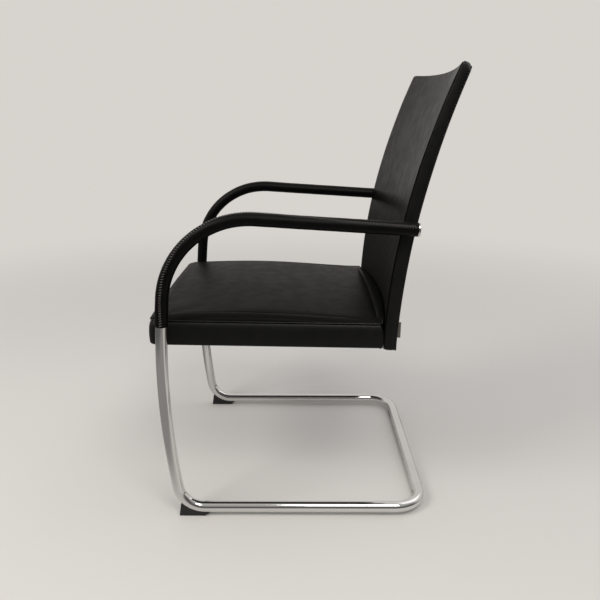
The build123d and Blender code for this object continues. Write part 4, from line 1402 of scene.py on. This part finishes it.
def reflected_room(n, where, away, backdrop):
    """A dimmer room round the stage, brighter on one side and dark far out: a painted reflection."""
    toward = n.add("ShaderNodeVectorMath", operation="NORMALIZE")
    n.join(where, toward.inputs[0])
    split = n.feed(n.add("ShaderNodeSeparateXYZ"), Vector=toward.outputs["Vector"])
    facing = n.add("ShaderNodeVectorMath", operation="DOT_PRODUCT")
    n.join(toward.outputs["Vector"], facing.inputs[0])
    facing.inputs[1].default_value = BRIGHT_SIDE
    room = n.mixed(n.ranged(split.outputs["X"], -0.9, 0.1), ROOM_LEFT, ROOM_RIGHT)
    room = n.mixed(n.ranged(split.outputs["Y"], 0.70, 0.98), room, ROOM_REAR)
    room = n.mixed(n.ranged(facing.outputs["Value"], 0.93, 0.995), room, dimmed(backdrop, 0.85))
    return n.mixed(n.ranged(away, 1.25, 1.75, 0.0, 0.75), room, ROOM_FAR)


def studio_floor(tint, backdrop):
    """Pale floor that keeps the chair's shadow and, far out, runs into the backdrop without a line. In
    reflections it glows as a dimmer room from 0.35 m out: a painted reflection.
    """
    made, n = material("Studio floor")
    where = n.where()
    shade = n.mixed(n.clouds(where, 1.3, 2.0), dimmed(tint, 0.985), tint)
    near = n.feed(n.add("ShaderNodeBsdfPrincipled"), Base_Color=shade, Roughness=0.8, Specular_IOR_Level=0.15)
    distance = n.add("ShaderNodeVectorMath", operation="LENGTH")
    n.join(where, distance.inputs[0])
    away = distance.outputs["Value"]
    mirrored = n.add("ShaderNodeLightPath").outputs["Is Glossy Ray"]
    tinted = n.mixed(mirrored, backdrop, reflected_room(n, where, away, backdrop))
    glow = n.feed(n.add("ShaderNodeEmission"), Color=tinted, Strength=1.0)
    # Painted reflection: glossy rays see the floor glow as a dim room from 0.35 m out.
    painted_room_reflection = n.maths("MULTIPLY", n.ranged(away, 0.35, 0.7, 0.0, 0.92), mirrored)
    far = n.maths("MULTIPLY", n.maths("MAXIMUM", n.ranged(away, 0.9, 3.4), painted_room_reflection), seen_rays(n))
    surface = n.mixed_shaders(far, near.outputs[0], glow.outputs[0])
    n.join(surface, n.add("ShaderNodeOutputMaterial").inputs["Surface"])
    return made


def studio_world(backdrop):
    """Soft even light. The backdrop stands pale behind the chair, with a dimmer room on the near side."""
    world = bpy.data.worlds.new("Studio")
    world.use_nodes = True
    world.node_tree.nodes.clear()
    n = Nodes(world.node_tree)
    mirrored = n.add("ShaderNodeLightPath").outputs["Is Glossy Ray"]
    split = n.feed(n.add("ShaderNodeSeparateXYZ"), Vector=n.add("ShaderNodeTexCoord").outputs["Generated"])
    room = n.ranged(split.outputs["X"], -0.15, 0.45)
    low = n.ranged(split.outputs["Z"], 0.25, 0.85, 1.0, 0.35)
    dim = n.maths("MULTIPLY", n.maths("MULTIPLY", room, low), mirrored)
    tint = n.mixed(dim, backdrop, dimmed(backdrop, 0.16))
    shown = n.feed(n.add("ShaderNodeBackground"), Color=tint, Strength=1.0)
    soft = n.feed(n.add("ShaderNodeBackground"), Color=(0.97, 0.98, 1.0, 1), Strength=0.62)
    surface = n.mixed_shaders(seen_rays(n), soft.outputs[0], shown.outputs[0])
    n.join(surface, n.add("ShaderNodeOutputWorld").inputs["Surface"])
    return world


# Each lamp's name, place, size, power and tint. They all face the same spot.
LAMP_TARGET = (0, 0, 0.4)
LAMPS = (
    ("Key light", (1.3, -2.1, 2.5), 1.3, 40, (1.0, 0.97, 0.93)),
    ("Room light", (1.7, 0.5, 2.5), 1.0, 22, (1.0, 0.98, 0.95)),
    ("Fill light", (-0.6, 1.9, 2.6), 2.2, 10, (0.94, 0.97, 1.0)),
)
# The camera's place, with Y counted from the legs, and its turns in radians, fitted to the tube's bends.
CAMERA_X, CAMERA_REACH, CAMERA_Z = 1.4466, 0.28893, 0.88224
YAW, PITCH, ROLL = 0.00267716, 0.30327223, 0.00377259


def hang_lamps():
    for name, at, size, power, tint in LAMPS:
        light = bpy.data.lights.new(name, "AREA")
        light.shape, light.size, light.energy, light.color = "SQUARE", size, power, tint
        lamp = bpy.data.objects.new(name, light)
        bpy.context.collection.objects.link(lamp)
        lamp.location = at
        lamp.rotation_euler = (Vector(LAMP_TARGET) - Vector(at)).to_track_quat("-Z", "Y").to_euler()


def set_camera():
    ahead = Vector((-cos(YAW) * cos(PITCH), sin(YAW) * cos(PITCH), -sin(PITCH)))
    level = Vector((sin(YAW), cos(YAW), 0))
    top = level.cross(ahead)
    right = level * cos(ROLL) + top * sin(ROLL)
    above = top * cos(ROLL) - level * sin(ROLL)
    view = bpy.data.cameras.new("Camera")
    view.sensor_width, view.lens = 36.0, 36.0
    view.clip_start, view.clip_end = 0.05, 50.0
    camera = bpy.data.objects.new("Camera", view)
    bpy.context.collection.objects.link(camera)
    camera.matrix_world = placed(right, above, -ahead, (CAMERA_X, leg_line() + CAMERA_REACH, CAMERA_Z))
    bpy.context.scene.camera = camera


class SetStage(bpy.types.Operator):
    """Set the pale floor and backdrop, the soft lights and the camera at the photograph's angle"""

    bl_idname = "armchair.set_stage"
    bl_label = "Set the stage"

    def execute(self, context):
        f = finishes()
        deselect()
        bpy.ops.mesh.primitive_plane_add(size=24)
        floor = new_piece("stage_floor")
        floor.data.materials.append(studio_floor(f.floor, f.backdrop))
        context.scene.world = studio_world(f.backdrop)
        hang_lamps()
        set_camera()
        context.scene.view_settings.view_transform = "Standard"
        return {"FINISHED"}


class ArmchairPanel(bpy.types.Panel):
    """Lists the armchair's steps in the sidebar"""

    bl_label = "Armchair"
    bl_idname = "VIEW3D_PT_armchair"
    bl_space_type = "VIEW_3D"
    bl_region_type = "UI"
    bl_category = "Armchair"

    def draw(self, context):
        for step in STEPS:
            self.layout.operator(step.bl_idname)
        for owner in ("armchair_tube", "armchair_seat", "armchair_back", "armchair_finishes"):
            box = self.layout.box()
            group_of = getattr(context.scene, owner)
            for name in group_of.__annotations__:
                box.prop(group_of, name)


SETTINGS = {
    "armchair_tube": ArmchairTubeSizes,
    "armchair_seat": ArmchairSeatSizes,
    "armchair_back": ArmchairBackSizes,
    "armchair_finishes": ArmchairFinishes,
}
STEPS = (BendTube, CoverArms, UpholsterSeat, UpholsterBack, SewTag, FinishFittings, SetStage)


def register():
    for item in (*SETTINGS.values(), *STEPS, ArmchairPanel):
        bpy.utils.register_class(item)
    for name, kind in SETTINGS.items():
        setattr(bpy.types.Scene, name, bpy.props.PointerProperty(type=kind))


def unregister():
    for name in SETTINGS:
        delattr(bpy.types.Scene, name)
    for item in reversed((*SETTINGS.values(), *STEPS, ArmchairPanel)):
        bpy.utils.unregister_class(item)


def main():
    register()
    make_finishes()
    bpy.ops.armchair.set_stage()
    bpy.ops.armchair.bend_tube()
    bpy.ops.armchair.cover_arms()
    bpy.ops.armchair.upholster_seat()
    bpy.ops.armchair.upholster_back()
    bpy.ops.armchair.sew_tag()
    bpy.ops.armchair.finish_fittings()


if __name__ == "__main__":
    main()
